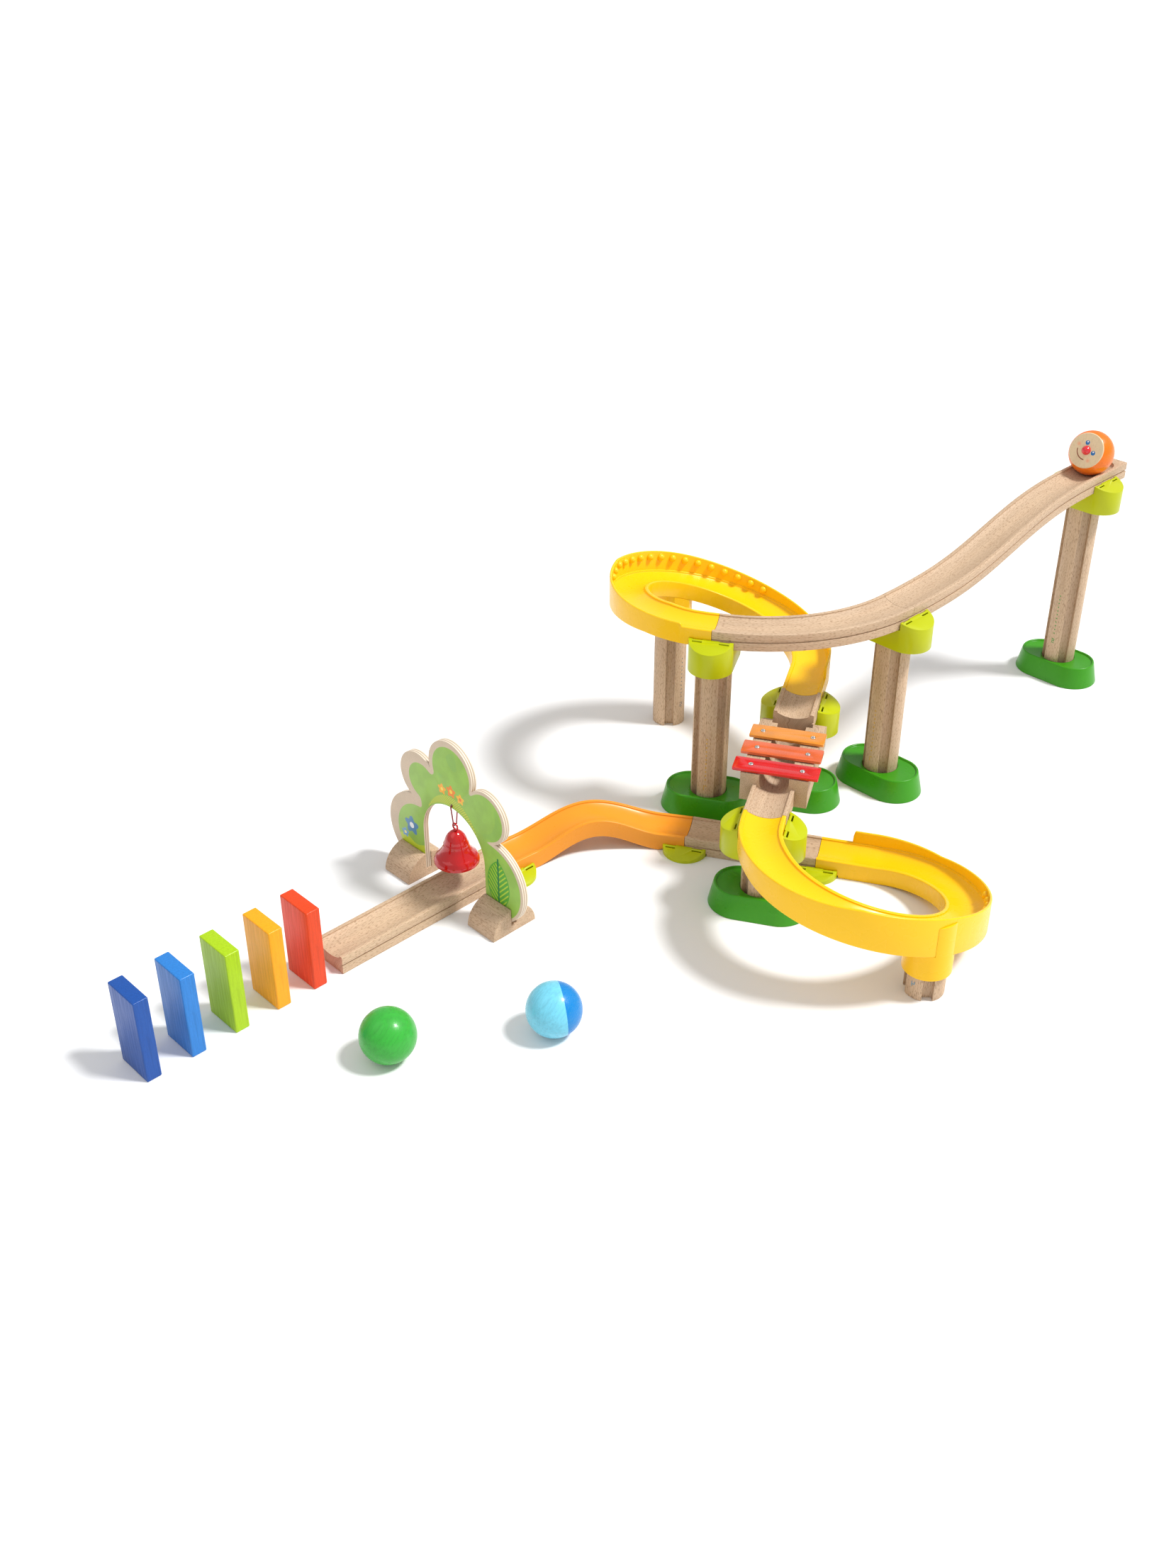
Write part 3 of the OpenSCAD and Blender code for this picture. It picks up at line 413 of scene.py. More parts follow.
def capped_faces(n, m):
    """The quads of an n by m grid that is joined round, and a face over each of its ends."""
    return [*grid_faces(n, m), range(m), range(n * m - 1, (n - 1) * m - 1, -1)]


def piece(name, points, faces, material, body=FIXED, uv=None, replaces=(), slot=None,
          sharp=38.0):
    """An object from points in mm and faces; it rides on a body and stands for CAD nodes."""
    mesh = bpy.data.meshes.new(name)
    mesh.from_pydata((np.asarray(points, float).reshape(-1, 3) * MM).tolist(), [],
                     [tuple(int(v) for v in face) for face in faces])
    mesh.validate()
    shaded(mesh, sharp, material)
    if uv is not None:
        layer = mesh.uv_layers.new(name="along")
        corner = np.empty(len(mesh.loops), int)
        mesh.loops.foreach_get("vertex_index", corner)
        layer.data.foreach_set("uv", (np.asarray(uv, float).reshape(-1, 2)[corner]).ravel())
    obj = linked(name, mesh)
    if volume(mesh) < 0:
        mesh.flip_normals()
    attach(obj, body)
    if replaces:
        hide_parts(*replaces)
    return obj


def volume(mesh):
    """Six times the signed volume, from each triangle's triple product."""
    mesh.calc_loop_triangles()
    v = np.empty(len(mesh.vertices) * 3)
    mesh.vertices.foreach_get("co", v)
    t = np.empty(len(mesh.loop_triangles) * 3, int)
    mesh.loop_triangles.foreach_get("vertices", t)
    a, b, c = (v.reshape(-1, 3)[t.reshape(-1, 3)[:, i]] for i in range(3))
    return float(np.einsum("ij,ij->i", a, np.cross(b, c)).sum())


def eased(outline, radii, steps=3):
    """Outlines, stations by points by (left, up), with each corner rounded: a corner becomes
    a quadratic curve between points so far along its two edges."""
    before = np.roll(outline, 1, axis=1) - outline
    after = np.roll(outline, -1, axis=1) - outline
    lb = np.linalg.norm(before, axis=2, keepdims=True)
    la = np.linalg.norm(after, axis=2, keepdims=True)
    r = np.minimum(np.asarray(radii, float)[None, :, None], 0.45 * np.minimum(lb, la))
    a = outline + before / np.maximum(lb, 1e-9) * r
    b = outline + after / np.maximum(la, 1e-9) * r
    t = (np.arange(steps + 1) / steps)[None, None, :, None]
    curve = ((1 - t) ** 2 * a[:, :, None] + 2 * t * (1 - t) * outline[:, :, None]
             + t ** 2 * b[:, :, None])
    round_it = np.asarray(radii, float) > 0
    keep = (round_it[:, None] | (np.arange(steps + 1) == 0)[None]).ravel()
    return curve.reshape(outline.shape[0], -1, 2)[:, keep]


def swept(stations, outlines):
    """Outlines carried along stations [x, y, heading, z]: a point is the station's place,
    plus left times the normal (-sin h, cos h), plus up. Returns points and their UV, which
    runs along the path in metres (u) and round the outline in metres (v)."""
    s = np.asarray(stations, float)
    h = np.radians(s[:, 2])[:, None]
    left, up = outlines[:, :, 0], outlines[:, :, 1]
    pts = np.stack([s[:, 0:1] - left * np.sin(h), s[:, 1:2] + left * np.cos(h),
                    s[:, 3:4] + up], -1)
    step = np.linalg.norm(np.diff(s[:, [0, 1, 3]], axis=0), axis=1)
    u = np.concatenate([[0], np.cumsum(step)])[:, None] + 0 * left
    round_step = np.linalg.norm(np.diff(outlines, axis=1), axis=2)
    v = np.concatenate([0 * left[:, :1], np.cumsum(round_step, axis=1)], axis=1)
    return pts, np.stack([u, v], -1) * MM


def swept_piece(name, stations, outlines, material, **more):
    """A closed track from stations and outlines, capped at both ends."""
    pts, uv = swept(stations, outlines)
    n, m = pts.shape[:2]
    return piece(name, pts, capped_faces(n, m), material, uv=uv, **more)


def hollow_arc(count=17):
    """The dished bottom of a track's hollow, from its left edge to its right."""
    y = HOLLOW_HALF * np.linspace(1, -1, count)
    return np.stack([y, HOLLOW_Z + HOLLOW_R - np.sqrt(HOLLOW_R ** 2 - y ** 2)], 1)


def wood_outline():
    """A wooden track's outline: two rims, a step, the dished hollow, a slit in each side."""
    o, i = TRACK_W / 2, HOLLOW_HALF
    side = np.array([[o, 0], [o, SLIT_Z], [o - SLIT_D, SLIT_Z], [o - SLIT_D, SLIT_Z + SLIT_H],
                     [o, SLIT_Z + SLIT_H], [o, TRACK_H], [i, TRACK_H]])
    other = side[::-1] * [-1, 1]
    r = bpy.context.scene.run_wood.edge_round
    radii = [r, 0.25, 0.2, 0.2, 0.25, r, 0.45]
    inside = [0.0] * 17
    inside[0] = inside[-1] = 0.5
    return (np.concatenate([side, hollow_arc(), other]), radii + inside + radii[::-1])


def ease(t, k):
    """A rise from 0 to 1: t less k times a sine of one turn, over a turn."""
    t = np.clip(t, 0, 1)
    return t - k * np.sin(2 * np.pi * t) / (2 * np.pi)


def loop_place(place, turn, angle, out=0.0):
    """The place so many degrees round a loop, shifted outwards from its middle line."""
    c = ahead(place, LOOP_LEAD, turn * LOOP_R)
    h = math.radians(place[2] + turn * angle)
    r = LOOP_R + out
    return (c[0] + turn * r * math.sin(h), c[1] - turn * r * math.cos(h),
            place[2] + turn * angle)


def loop_z(z, drop, angle):
    """Height of a loop's underside so many degrees round it."""
    return z - drop * ease((angle - 30) / 235, 0.5)


def fence_z(z, drop, angle):
    """Height of the top of a loop's outer wall."""
    return z + FENCE_TOP - (drop + FENCE_TOP - FENCE_LOW) * ease((angle - 95) / 140, 0.3)


def ramp_piece(material):
    """The first track: a stop with a round end, then an S-shaped drop of two steps. Its
    hollow narrows to a point at the stop as a half circle seen from above."""
    full = 9.5 - RAMP_TAIL + HOLLOW_HALF
    flat = REBATE_L
    base, radii = wood_outline()
    d0 = full - HOLLOW_HALF
    round_d = full - HOLLOW_HALF * np.cos(np.radians(np.linspace(4, 90, 14)))
    run = np.linspace(0, 1, 70)
    d = np.concatenate([[-RAMP_TAIL, d0 - 0.2], round_d, flat + (RAMP_L - 2 * flat) * run,
                        [RAMP_L - SEAM / 2]])
    z = Z_START - (Z_START - Z_BEND) * ease((d - flat) / (RAMP_L - 2 * flat), 0.85)
    width = np.clip(np.sqrt(np.clip(1 - ((full - d) / HOLLOW_HALF) ** 2, 0, 1)), 0.012, 1)
    width = np.where(d >= full, 1.0, width)
    deep = np.where(d < d0, 0.012, 1.0)
    outlines = np.repeat(base[None], len(d), 0)
    inner = np.zeros(len(base), bool)
    inner[6:6 + 19] = True
    outlines[:, inner, 0] *= width[:, None]
    outlines[:, inner, 1] = TRACK_H - (TRACK_H - outlines[:, inner, 1]) * deep[:, None]
    stations = [[*ahead(AT_START, float(a)), float(b)] for a, b in zip(d, z)]
    return swept_piece("ramp_looks", stations, eased(outlines, radii), material,
                       replaces=("start_ramp",), slot="beech")


def wood_run(name, stations, material, node, rebate=(False, False)):
    """A wooden track along level or bent stations; where it lies on a floor link its
    underside is cut back by the link's plate."""
    base, radii = wood_outline()
    outlines = np.repeat(base[None], len(stations), 0)
    for lifted, index in zip(rebate, (0, -1)):
        if lifted:
            at = slice(0, 2) if index == 0 else slice(-2, None)
            low = outlines[at, :, 1]
            outlines[at, :, 1] = np.maximum(low, REBATE_H)
    return swept_piece(name, stations, eased(outlines, radii), material, replaces=(node,),
                       slot="beech")


def straight_run(name, place, length, z, material, node, rebate=(False, False), start=None):
    """A straight wooden track with rebates at either end."""
    a, b = (SEAM / 2 if start is None else start), length - SEAM / 2
    d = [a]
    if rebate[0]:
        d += [REBATE_L, REBATE_L + 0.1]
    if rebate[1]:
        d += [length - REBATE_L - 0.1, length - REBATE_L]
    d += [b]
    stations = [[*ahead(place, v), z] for v in d]
    return wood_run(name, stations, material, node, rebate)


def shell_outline(fence, fence_side, foot):
    """A moulded track's outlines: a dished deck under two rims, a thin wall down each side,
    and a tall fence on one side. fence and foot are heights at each station."""
    n = len(fence)
    o, i, lip = TRACK_W / 2 - 0.15, HOLLOW_HALF, TRACK_W / 2 - WALL
    roof = HOLLOW_Z - SKIN
    rim = np.full(n, TRACK_H - 0.1)
    low = np.full(n, TRACK_H)
    left, right = (fence, low) if fence_side > 0 else (low, fence)
    full = np.ones(n)
    arc = hollow_arc()
    lefts = [(lip, foot), (o, foot), (o, left), (lip, left), (lip, rim), (i, rim)]
    rights = [(-i, rim), (-lip, rim), (-lip, right), (-o, right), (-o, foot), (-lip, foot),
              (-lip, full * roof), (lip, full * roof)]
    rows = [np.stack([full * x, full * y], 1) for x, y in lefts]
    rows += [np.stack([full * x, full * y], 1) for x, y in arc]
    rows += [np.stack([full * x, full * y], 1) for x, y in rights]
    radii = ([0.3, 0.7, 1.1, 0.9, 0.6, 0.9] + [0.5] + [0.0] * 15 + [0.5]
             + [0.9, 0.6, 0.9, 1.1, 0.7, 0.3, 0.4, 0.4])
    return eased(np.stack(rows, 1), radii)


def loop_piece(name, place, z, z_low, turn, material, node):
    """A moulded loop: three quarters of a circle that drops as it turns, with a tall outer
    fence whose top keeps its own height and meets the rims in a rounded step at each end."""
    steps = bpy.context.scene.run_plastic.loop_steps
    drop = z - z_low
    last = loop_place(place, turn, 270)
    fa = math.degrees((25 - LOOP_LEAD) / LOOP_R)
    soft = np.linspace(0, 1, 7)
    angles = np.concatenate([[0.0, fa - 1.0], fa + 1.6 * soft, np.linspace(12.5, 270, steps)])
    base_z = loop_z(z, drop, angles)
    fence = fence_z(z, drop, angles) - base_z
    rise = np.clip((angles - fa) / 1.6, 0, 1)
    fence = TRACK_H + (fence - TRACK_H) * np.sqrt(np.clip(1 - (1 - rise) ** 2, 0, 1))
    stations = [[*ahead(place, SEAM / 2), z]]
    stations += [[*loop_place(place, turn, a), b] for a, b in zip(angles, base_z)]
    fence = np.concatenate([[TRACK_H], fence])
    tail = 20 - 2.6 * (1 - soft)
    stations += [[*ahead(last, d), z_low] for d in tail]
    fence = np.concatenate([fence, TRACK_H + (FENCE_LOW - TRACK_H)
                            * np.sqrt(np.clip(1 - soft ** 2, 0, 1))])
    ends = [LOOP_TAIL - REBATE_L - 0.1, LOOP_TAIL - REBATE_L, LOOP_TAIL - SEAM / 2]
    stations += [[*ahead(last, d), z_low] for d in ends]
    fence = np.concatenate([fence, [TRACK_H] * 3])
    foot = np.zeros(len(stations))
    if z_low <= 0:
        foot[-2:] = REBATE_H
    return swept_piece(name, stations, shell_outline(fence, -turn, foot), material,
                       replaces=(node,), slot="yellow_plastic")


def hump_lift(angle):
    """Height of the hump so many degrees into the last bend: one raised cosine."""
    t = np.clip((angle - 7) / (BEND_A - 14), 0, 1)
    return HUMP_H * (1 - np.cos(2 * np.pi * t)) / 2


def hump_piece(material):
    """The orange bend: a dished shell that rises over a hump between two floor links."""
    seam = math.degrees(SEAM / 2 / BEND_R)
    cut = math.degrees(REBATE_L / BEND_R)
    angles = np.concatenate([[seam, cut], cut + np.linspace(0.04, 1, 90) * (BEND_A - 2 * cut),
                             [BEND_A - seam]])
    stations = [[*after_bend(AT_LINK_HUMP, BEND_R, float(a), 1), float(hump_lift(a))]
                for a in angles]
    foot = np.where((angles <= cut + 0.01) | (angles >= BEND_A - cut - 0.01), REBATE_H, 0.0)
    fence = np.full(len(angles), TRACK_H)
    return swept_piece("hump_looks", stations, shell_outline(fence, 1, foot), material,
                       replaces=("hump_bend",), slot="orange_plastic")


def lathe(name, profile, centre, material, turns=64, **more):
    """A closed profile [radius, height] turned about the vertical through a point in mm."""
    p = np.asarray(profile, float)
    a = np.linspace(0, 2 * np.pi, turns, endpoint=False)[:, None]
    pts = np.stack([centre[0] + p[:, 0] * np.cos(a), centre[1] + p[:, 0] * np.sin(a),
                    centre[2] + p[:, 1] + 0 * a], -1)
    return piece(name, pts, grid_faces(turns, len(p), wrap_n=True), material, **more)


def stadium(half, radius, count=96):
    """Points of a stadium: x = half plus the end's cosine to the side that it lies on."""
    a = np.linspace(0, 2 * np.pi, count, endpoint=False) + np.pi / count
    y = radius * np.sin(a) + np.where(np.sin(a) > 0, half, -half)
    return np.stack([radius * np.cos(a), y], 1)


def turn_points(xy, place):
    """Points given along and to the left of a place, as x and y."""
    h = math.radians(place[2])
    return np.stack([place[0] + xy[..., 0] * math.cos(h) - xy[..., 1] * math.sin(h),
                     place[1] + xy[..., 0] * math.sin(h) + xy[..., 1] * math.cos(h)], -1)


def foot_piece(name, place, material, node):
    """A foot: stadiums of changing half-length, radius and height, from the floor up the
    sloping side, over a rounded rim, across the sunk top and down the post's hole."""
    rows = [(17.4, 27.0, 0), (17.4, 27.5, 0.5), (17.4, 27.38, 1.2), (17.4, 23.15, 20.9),
            (17.4, 22.95, 21.6), (17.4, 22.6, 22.2), (17.4, 22.0, 22.5), (17.4, 21.3, 22.4),
            (17.4, 20.7, 21.9), (17.4, 20.4, 21.2), (17.4, 20.1, 20.8), (17.4, 19.6, 20.7),
            (0.0, 17.8, 20.7), (0.0, 17.3, 20.5), (0.0, 17.08, 20.0), (0.0, 17.05, 3.0)]
    rings = []
    for half, radius, z in rows:
        xy = turn_points(stadium(half, radius), place)
        rings.append(np.concatenate([xy, np.full((len(xy), 1), z)], 1))
    faces = capped_faces(len(rings), len(rings[0]))
    return piece(name, np.stack(rings), faces, material, replaces=(node,),
                 slot="green_plastic", sharp=50)


def post_outline(turn, radius=16.8, half=4.5, deep=5.5):
    """A round post with four square grooves: arcs between the grooves, all corners eased."""
    edge = math.asin(half / radius)
    rows = []
    for q in range(4):
        arc = np.linspace(edge, np.pi / 2 - edge, 13) + q * np.pi / 2
        rows.append(np.stack([radius * np.cos(arc), radius * np.sin(arc)], 1))
        c, s = math.cos((q + 1) * math.pi / 2), math.sin((q + 1) * math.pi / 2)
        floor = radius - deep
        rows.append(np.array([[floor * c + half * s, floor * s - half * c],
                              [floor * c - half * s, floor * s + half * c]]))
    radii = ([1.3] + [0.0] * 11 + [1.3] + [0.6, 0.6]) * 4
    xy = eased(np.concatenate(rows)[None], radii)[0]
    return turn_points(xy, (0, 0, turn))


def post_piece(name, node, turn, material, slot="beech"):
    """A grooved post between a CAD post's lowest and highest points, its ends eased."""
    low, high = node_box(node)
    c = (low + high) / 2
    xy = post_outline(turn)
    shrink = np.array([0.97, 0.99, 1, 1, 0.99, 0.97])[:, None, None]
    z = np.array([low[2], low[2] + 0.4, low[2] + 1.2, high[2] - 1.2, high[2] - 0.4, high[2]])
    pts = np.concatenate([xy[None] * shrink + c[:2],
                          np.broadcast_to(z[:, None, None], (len(z), len(xy), 1))], -1)
    return piece(name, pts, capped_faces(len(z), len(xy)), material, replaces=(node,),
                 slot=slot, sharp=35)


def rounded_box(name, place, z, half, r, material, n=40, m=80, **more):
    """A box with rounded edges: each point of a sphere's grid is pushed out to its octant's
    corner, so that a sphere's normals n give sign(n) (half - r) + r n."""
    a = (np.arange(m) + 0.5) / m * 2 * np.pi
    b = (np.arange(n) + 0.5) / n * np.pi
    nx = np.sin(b)[:, None] * np.cos(a)
    ny = np.sin(b)[:, None] * np.sin(a)
    nz = np.cos(b)[:, None] + 0 * a
    unit = np.stack([nx, ny, nz], -1)
    unit[0, :, 2], unit[-1, :, 2] = 1, -1
    p = np.sign(unit) * (np.asarray(half, float) - r) + r * unit
    pts = np.concatenate([turn_points(p[..., :2], place), p[..., 2:] + z], -1)
    return piece(name, pts, capped_faces(n, m), material, **more)


def tube(name, path, radius, material, sides=12, closed=False, **more):
    """A round tube along points in mm; its ring frame is carried by the path's own plane."""
    p = np.asarray(path, float)
    ahead_ = np.roll(p, -1, 0) - np.roll(p, 1, 0)
    if not closed:
        ahead_[0], ahead_[-1] = p[1] - p[0], p[-1] - p[-2]
    t = ahead_ / np.linalg.norm(ahead_, axis=1, keepdims=True)
    side = np.broadcast_to(np.array([0.0, 1.0, 0.0]), t.shape)
    out = np.cross(t, side)
    a = np.arange(sides) / sides * 2 * np.pi
    pts = (p[:, None] + radius * (np.cos(a)[None, :, None] * out[:, None]
                                  + np.sin(a)[None, :, None] * side[:, None]))
    run = np.concatenate([[0], np.cumsum(np.linalg.norm(np.diff(p, axis=0), axis=1))]) * MM
    uv = np.stack([np.broadcast_to(a / (2 * np.pi), (len(p), sides)),
                   np.broadcast_to(run[:, None], (len(p), sides))], -1)
    faces = grid_faces(len(p), sides, wrap_n=True) if closed else capped_faces(len(p), sides)
    return piece(name, pts, faces, material, uv=uv, **more)


def smooth_line(points, count, closed=False):
    """A Catmull-Rom curve through points, with so many steps between each pair."""
    p = np.asarray(points, float)
    q = np.concatenate([p[-1:], p, p[:2]]) if closed else np.concatenate(
        [2 * p[:1] - p[1:2], p, 2 * p[-1:] - p[-2:-1]])
    t = (np.arange(count) / count)[None, :, None]
    a, b, c, d = (q[i:len(q) - 3 + i, None] for i in range(4))
    curve = 0.5 * (2 * b + (c - a) * t + (2 * a - 5 * b + 4 * c - d) * t ** 2
                   + (3 * b - a - 3 * c + d) * t ** 3)
    curve = curve.reshape(-1, p.shape[1])
    return curve if closed else np.concatenate([curve, p[-1:]])


def softened(node, width, material, body=FIXED):
    """A merged copy of a CAD node whose sharp edges carry a narrow round: the copy's
    triangles are joined into flat faces first, so that only real edges are rounded."""
    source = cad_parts[node]
    bm = bmesh.new()
    bm.from_mesh(source.data)
    bmesh.ops.remove_doubles(bm, verts=bm.verts, dist=0.00002)
    bmesh.ops.dissolve_limit(bm, angle_limit=math.radians(1.0), verts=bm.verts, edges=bm.edges)
    bm.normal_update()
    sharp = [e for e in bm.edges if len(e.link_faces) == 2 and e.is_convex
             and e.calc_face_angle(0) > math.radians(32)]
    bmesh.ops.bevel(bm, geom=sharp, offset=width * MM, offset_type="OFFSET", segments=2,
                    profile=0.5, affect="EDGES", clamp_overlap=True)
    mesh = bpy.data.meshes.new(node + "_soft")
    bm.to_mesh(mesh)
    bm.free()
    shaded(mesh, 38, material)
    obj = linked(node + "_looks", mesh)
    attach(obj, body)
    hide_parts(node)
    return obj


def dress(node, material):
    """A CAD node keeps its shape and takes this material in each of its slots."""
    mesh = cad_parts[node].data
    mesh.materials.clear()
    mesh.materials.append(material)


# ---------------------------------------------------------------- marks and prints
def ring_distance(a, b, centre):
    """Distance of (a, b) from a centre."""
    da, db = a - centre[0], b - centre[1]
    return (da * da + db * db).sqrt()


def post_marks(centre, side, low, shade, numeral):
    """A row of printed dots up a post and a small numeral below it. side is the direction
    that the marks face, in degrees; low is the height of the numeral's foot in mm."""
    def paint(f, wood):
        x, y, z = f.parts(f.place((0, 0, 90 - side), (centre[0] * MM, centre[1] * MM, 0)))
        row = z - (low + 9.5) * MM
        pitch = 4.4 * MM
        dot = ring_distance(x, row.wrap(pitch), (0, pitch / 2)).under(0.75 * MM)
        dots = dot * row.over(0.0) * row.under(11 * pitch)
        glyph = strokes(x, z - low * MM, numeral)
        mask = (dots.most(glyph)) * y.over(0.0)
        return f.mix(mask * 0.92, wood, shade)
    return paint


SEGMENTS = {  # a seven-stroke numeral: left, right, bottom, top of each stroke, in mm
    "top": (-1.5, 1.5, 4.5, 5.2), "middle": (-1.5, 1.5, 2.25, 2.95),
    "foot": (-1.5, 1.5, 0, 0.7), "up_left": (-1.5, -0.8, 2.3, 5.2),
    "up_right": (0.8, 1.5, 2.3, 5.2), "low_left": (-1.5, -0.8, 0, 2.9),
    "low_right": (0.8, 1.5, 0, 2.9)}
NUMERALS = {4: ("up_left", "up_right", "middle", "low_right"),
            5: ("top", "up_left", "middle", "low_right", "foot"),
            7: ("top", "up_right", "low_right"),
            9: ("top", "up_left", "up_right", "middle", "low_right", "foot")}


def strokes(x, z, numeral):
    """A mask of a plain numeral made of straight strokes."""
    total = None
    for key in NUMERALS[numeral]:
        a, b, c, d = (v * MM for v in SEGMENTS[key])
        one = x.over(a) * x.under(b) * z.over(c) * z.under(d)
        total = one if total is None else total.most(one)
    return total


GATE_Z = 51.0
# Flowers: left, height and size in mm, and the colours of the petals and the middle.
FLOWERS = ((0.0, 108.5, 6.4, (0.86, 0.25, 0.02), (0.95, 0.65, 0.05)),
           (-12.0, 106.0, 5.4, (0.92, 0.50, 0.03), (0.80, 0.20, 0.02)),
           (12.0, 106.0, 5.6, (0.92, 0.42, 0.03), (0.95, 0.75, 0.1)),
           (58.0, 46.0, 10.0, (0.07, 0.23, 0.44), (0.85, 0.87, 0.9)),
           (68.0, 34.0, 5.2, (0.14, 0.36, 0.62), (0.9, 0.8, 0.3)))
PRINT_CLOUD = [(-1.0, 127.5, 24.0), (39.5, 101, 17.5), (-43.5, 102.5, 21.6), (45, 39, 32.5),
               (-49.5, 41.5, 36.2), (0, 80, 41.5)]


def arch_finish(name):
    """Plywood with a printed face: bare layered edges, a natural border, a leafy green
    ground, a leaf, a woven band over the opening and plain flowers."""
    look = bpy.context.scene.run_parts
    f = Finish(name, Specular_IOR_Level=0.4)
    centre = (AT_ARCH[0] * MM, AT_ARCH[1] * MM, 0)
    x, y, z = f.parts(f.place(centre=centre))
    grain = f.place()
    wood, height = beech_layers(f, grain)
    wood = f.mix(0.55, wood, (0.76, 0.66, 0.52))
    layers = f.mix((x / look.ply_edge + 0.5).wrap(2.0).over(1.0), (0.80, 0.70, 0.56),
                   (0.50, 0.38, 0.27))
    normal = f.parts(f.node("ShaderNodeNewGeometry", out=1))[0]
    flat = abs(normal).ramp(0.75, 0.9)
    near = None
    for cy, cz, r in PRINT_CLOUD:
        gone = ring_distance(y, z, (cy * MM, cz * MM)) - r * MM
        near = gone if near is None else near.math("SMOOTH_MIN", gone, 9 * MM)
    inside = near.ramp(-0.0003, 0.0003, 1.0, 0.0)
    spot = f.place()
    mottle = f.noise(spot, 60.0, 3.0)
    green = f.mix(mottle.ramp(0.35, 0.65), tone(look.leaf_green, 0.94),
                  tone(look.leaf_green, 1.08))
    darker = f.noise(spot, 26.0, 1.0).ramp(0.58, 0.6)
    green = f.mix(darker * 0.25, green, (0.17, 0.42, 0.1))
    # Grass on the left leg, with a waving top.
    hill = (y * 210.0).sin() * 0.0022 + 0.031
    green = f.mix((hill - z).ramp(0.0, 0.0008) * y.over(0.0), green, (0.52, 0.66, 0.03))
    # Woven band: it follows the opening and thins out to both sides.
    reach = ring_distance(y, z, (0, GATE_Z * MM)) - 42.2 * MM
    thin = 1.0 - (y / (33 * MM)) * (y / (33 * MM))
    in_band = reach.over(0.0) * (thin * (9.5 * MM) - reach).over(0.0) * z.over(0.07)
    weave = (y * 2900.0).sin() * (reach * 2600.0).sin()
    green = f.mix(in_band, green, f.mix(weave.ramp(-0.5, 0.5), (0.30, 0.46, 0.05),
                                        (0.62, 0.70, 0.06)))
    # Leaf: two arcs that meet at its ends, a midrib and slanting veins.
    ly, lz = y + 58 * MM, z - 41 * MM
    half_leaf = ring_distance(ly, lz, (16 * MM, 0)).most(ring_distance(ly, lz, (-16 * MM, 0)))
    leaf = half_leaf.under(30 * MM)
    vein = ((lz - abs(ly) * 1.1) / (5.2 * MM)).wrap(1.0)
    veins = abs(vein - 0.5).under(0.17) * half_leaf.under(28.8 * MM)
    green = f.mix(leaf, green, (0.08, 0.38, 0.03))
    green = f.mix(veins, green, (0.42, 0.62, 0.03))
    green = f.mix(abs(ly).under(1.0 * MM) * half_leaf.under(32 * MM), green, (0.01, 0.20, 0.05))
    # Flowers: five round petals about a middle.
    for cy, cz, size, petal, heart in FLOWERS:
        fy, fz = y - cy * MM, z - cz * MM
        around = f.node("ShaderNodeMath", {"operation": "ARCTAN2"}, {0: fz, 1: fy})
        reach = (fy * fy + fz * fz).sqrt()
        edge = (around * 5.0).sin() * 0.17 * size * MM + 0.8 * size * MM
        green = f.mix((reach - edge).under(0.0), green, petal)
        green = f.mix(reach.under(0.3 * size * MM), green, heart)
    printed = f.mix(inside, wood, green)
    face = f.mix(flat, layers, printed)
    # Painted shade: a dark disc where the cord passes through the arch, for the shade inside
    # its hole.
    hole = ring_distance(y, z, (0, 94.6 * MM)).under(1.35 * MM)
    face = f.mix(hole, face, (0.1, 0.05, 0.02))
    bare_rough, print_rough = 0.55, 0.33
    f.give(Base_Color=face,
           Roughness=bare_rough - inside * flat * (bare_rough - print_rough))
    f.bump(height + mottle * 0.2, 0.0001, 0.4)
    return f.material


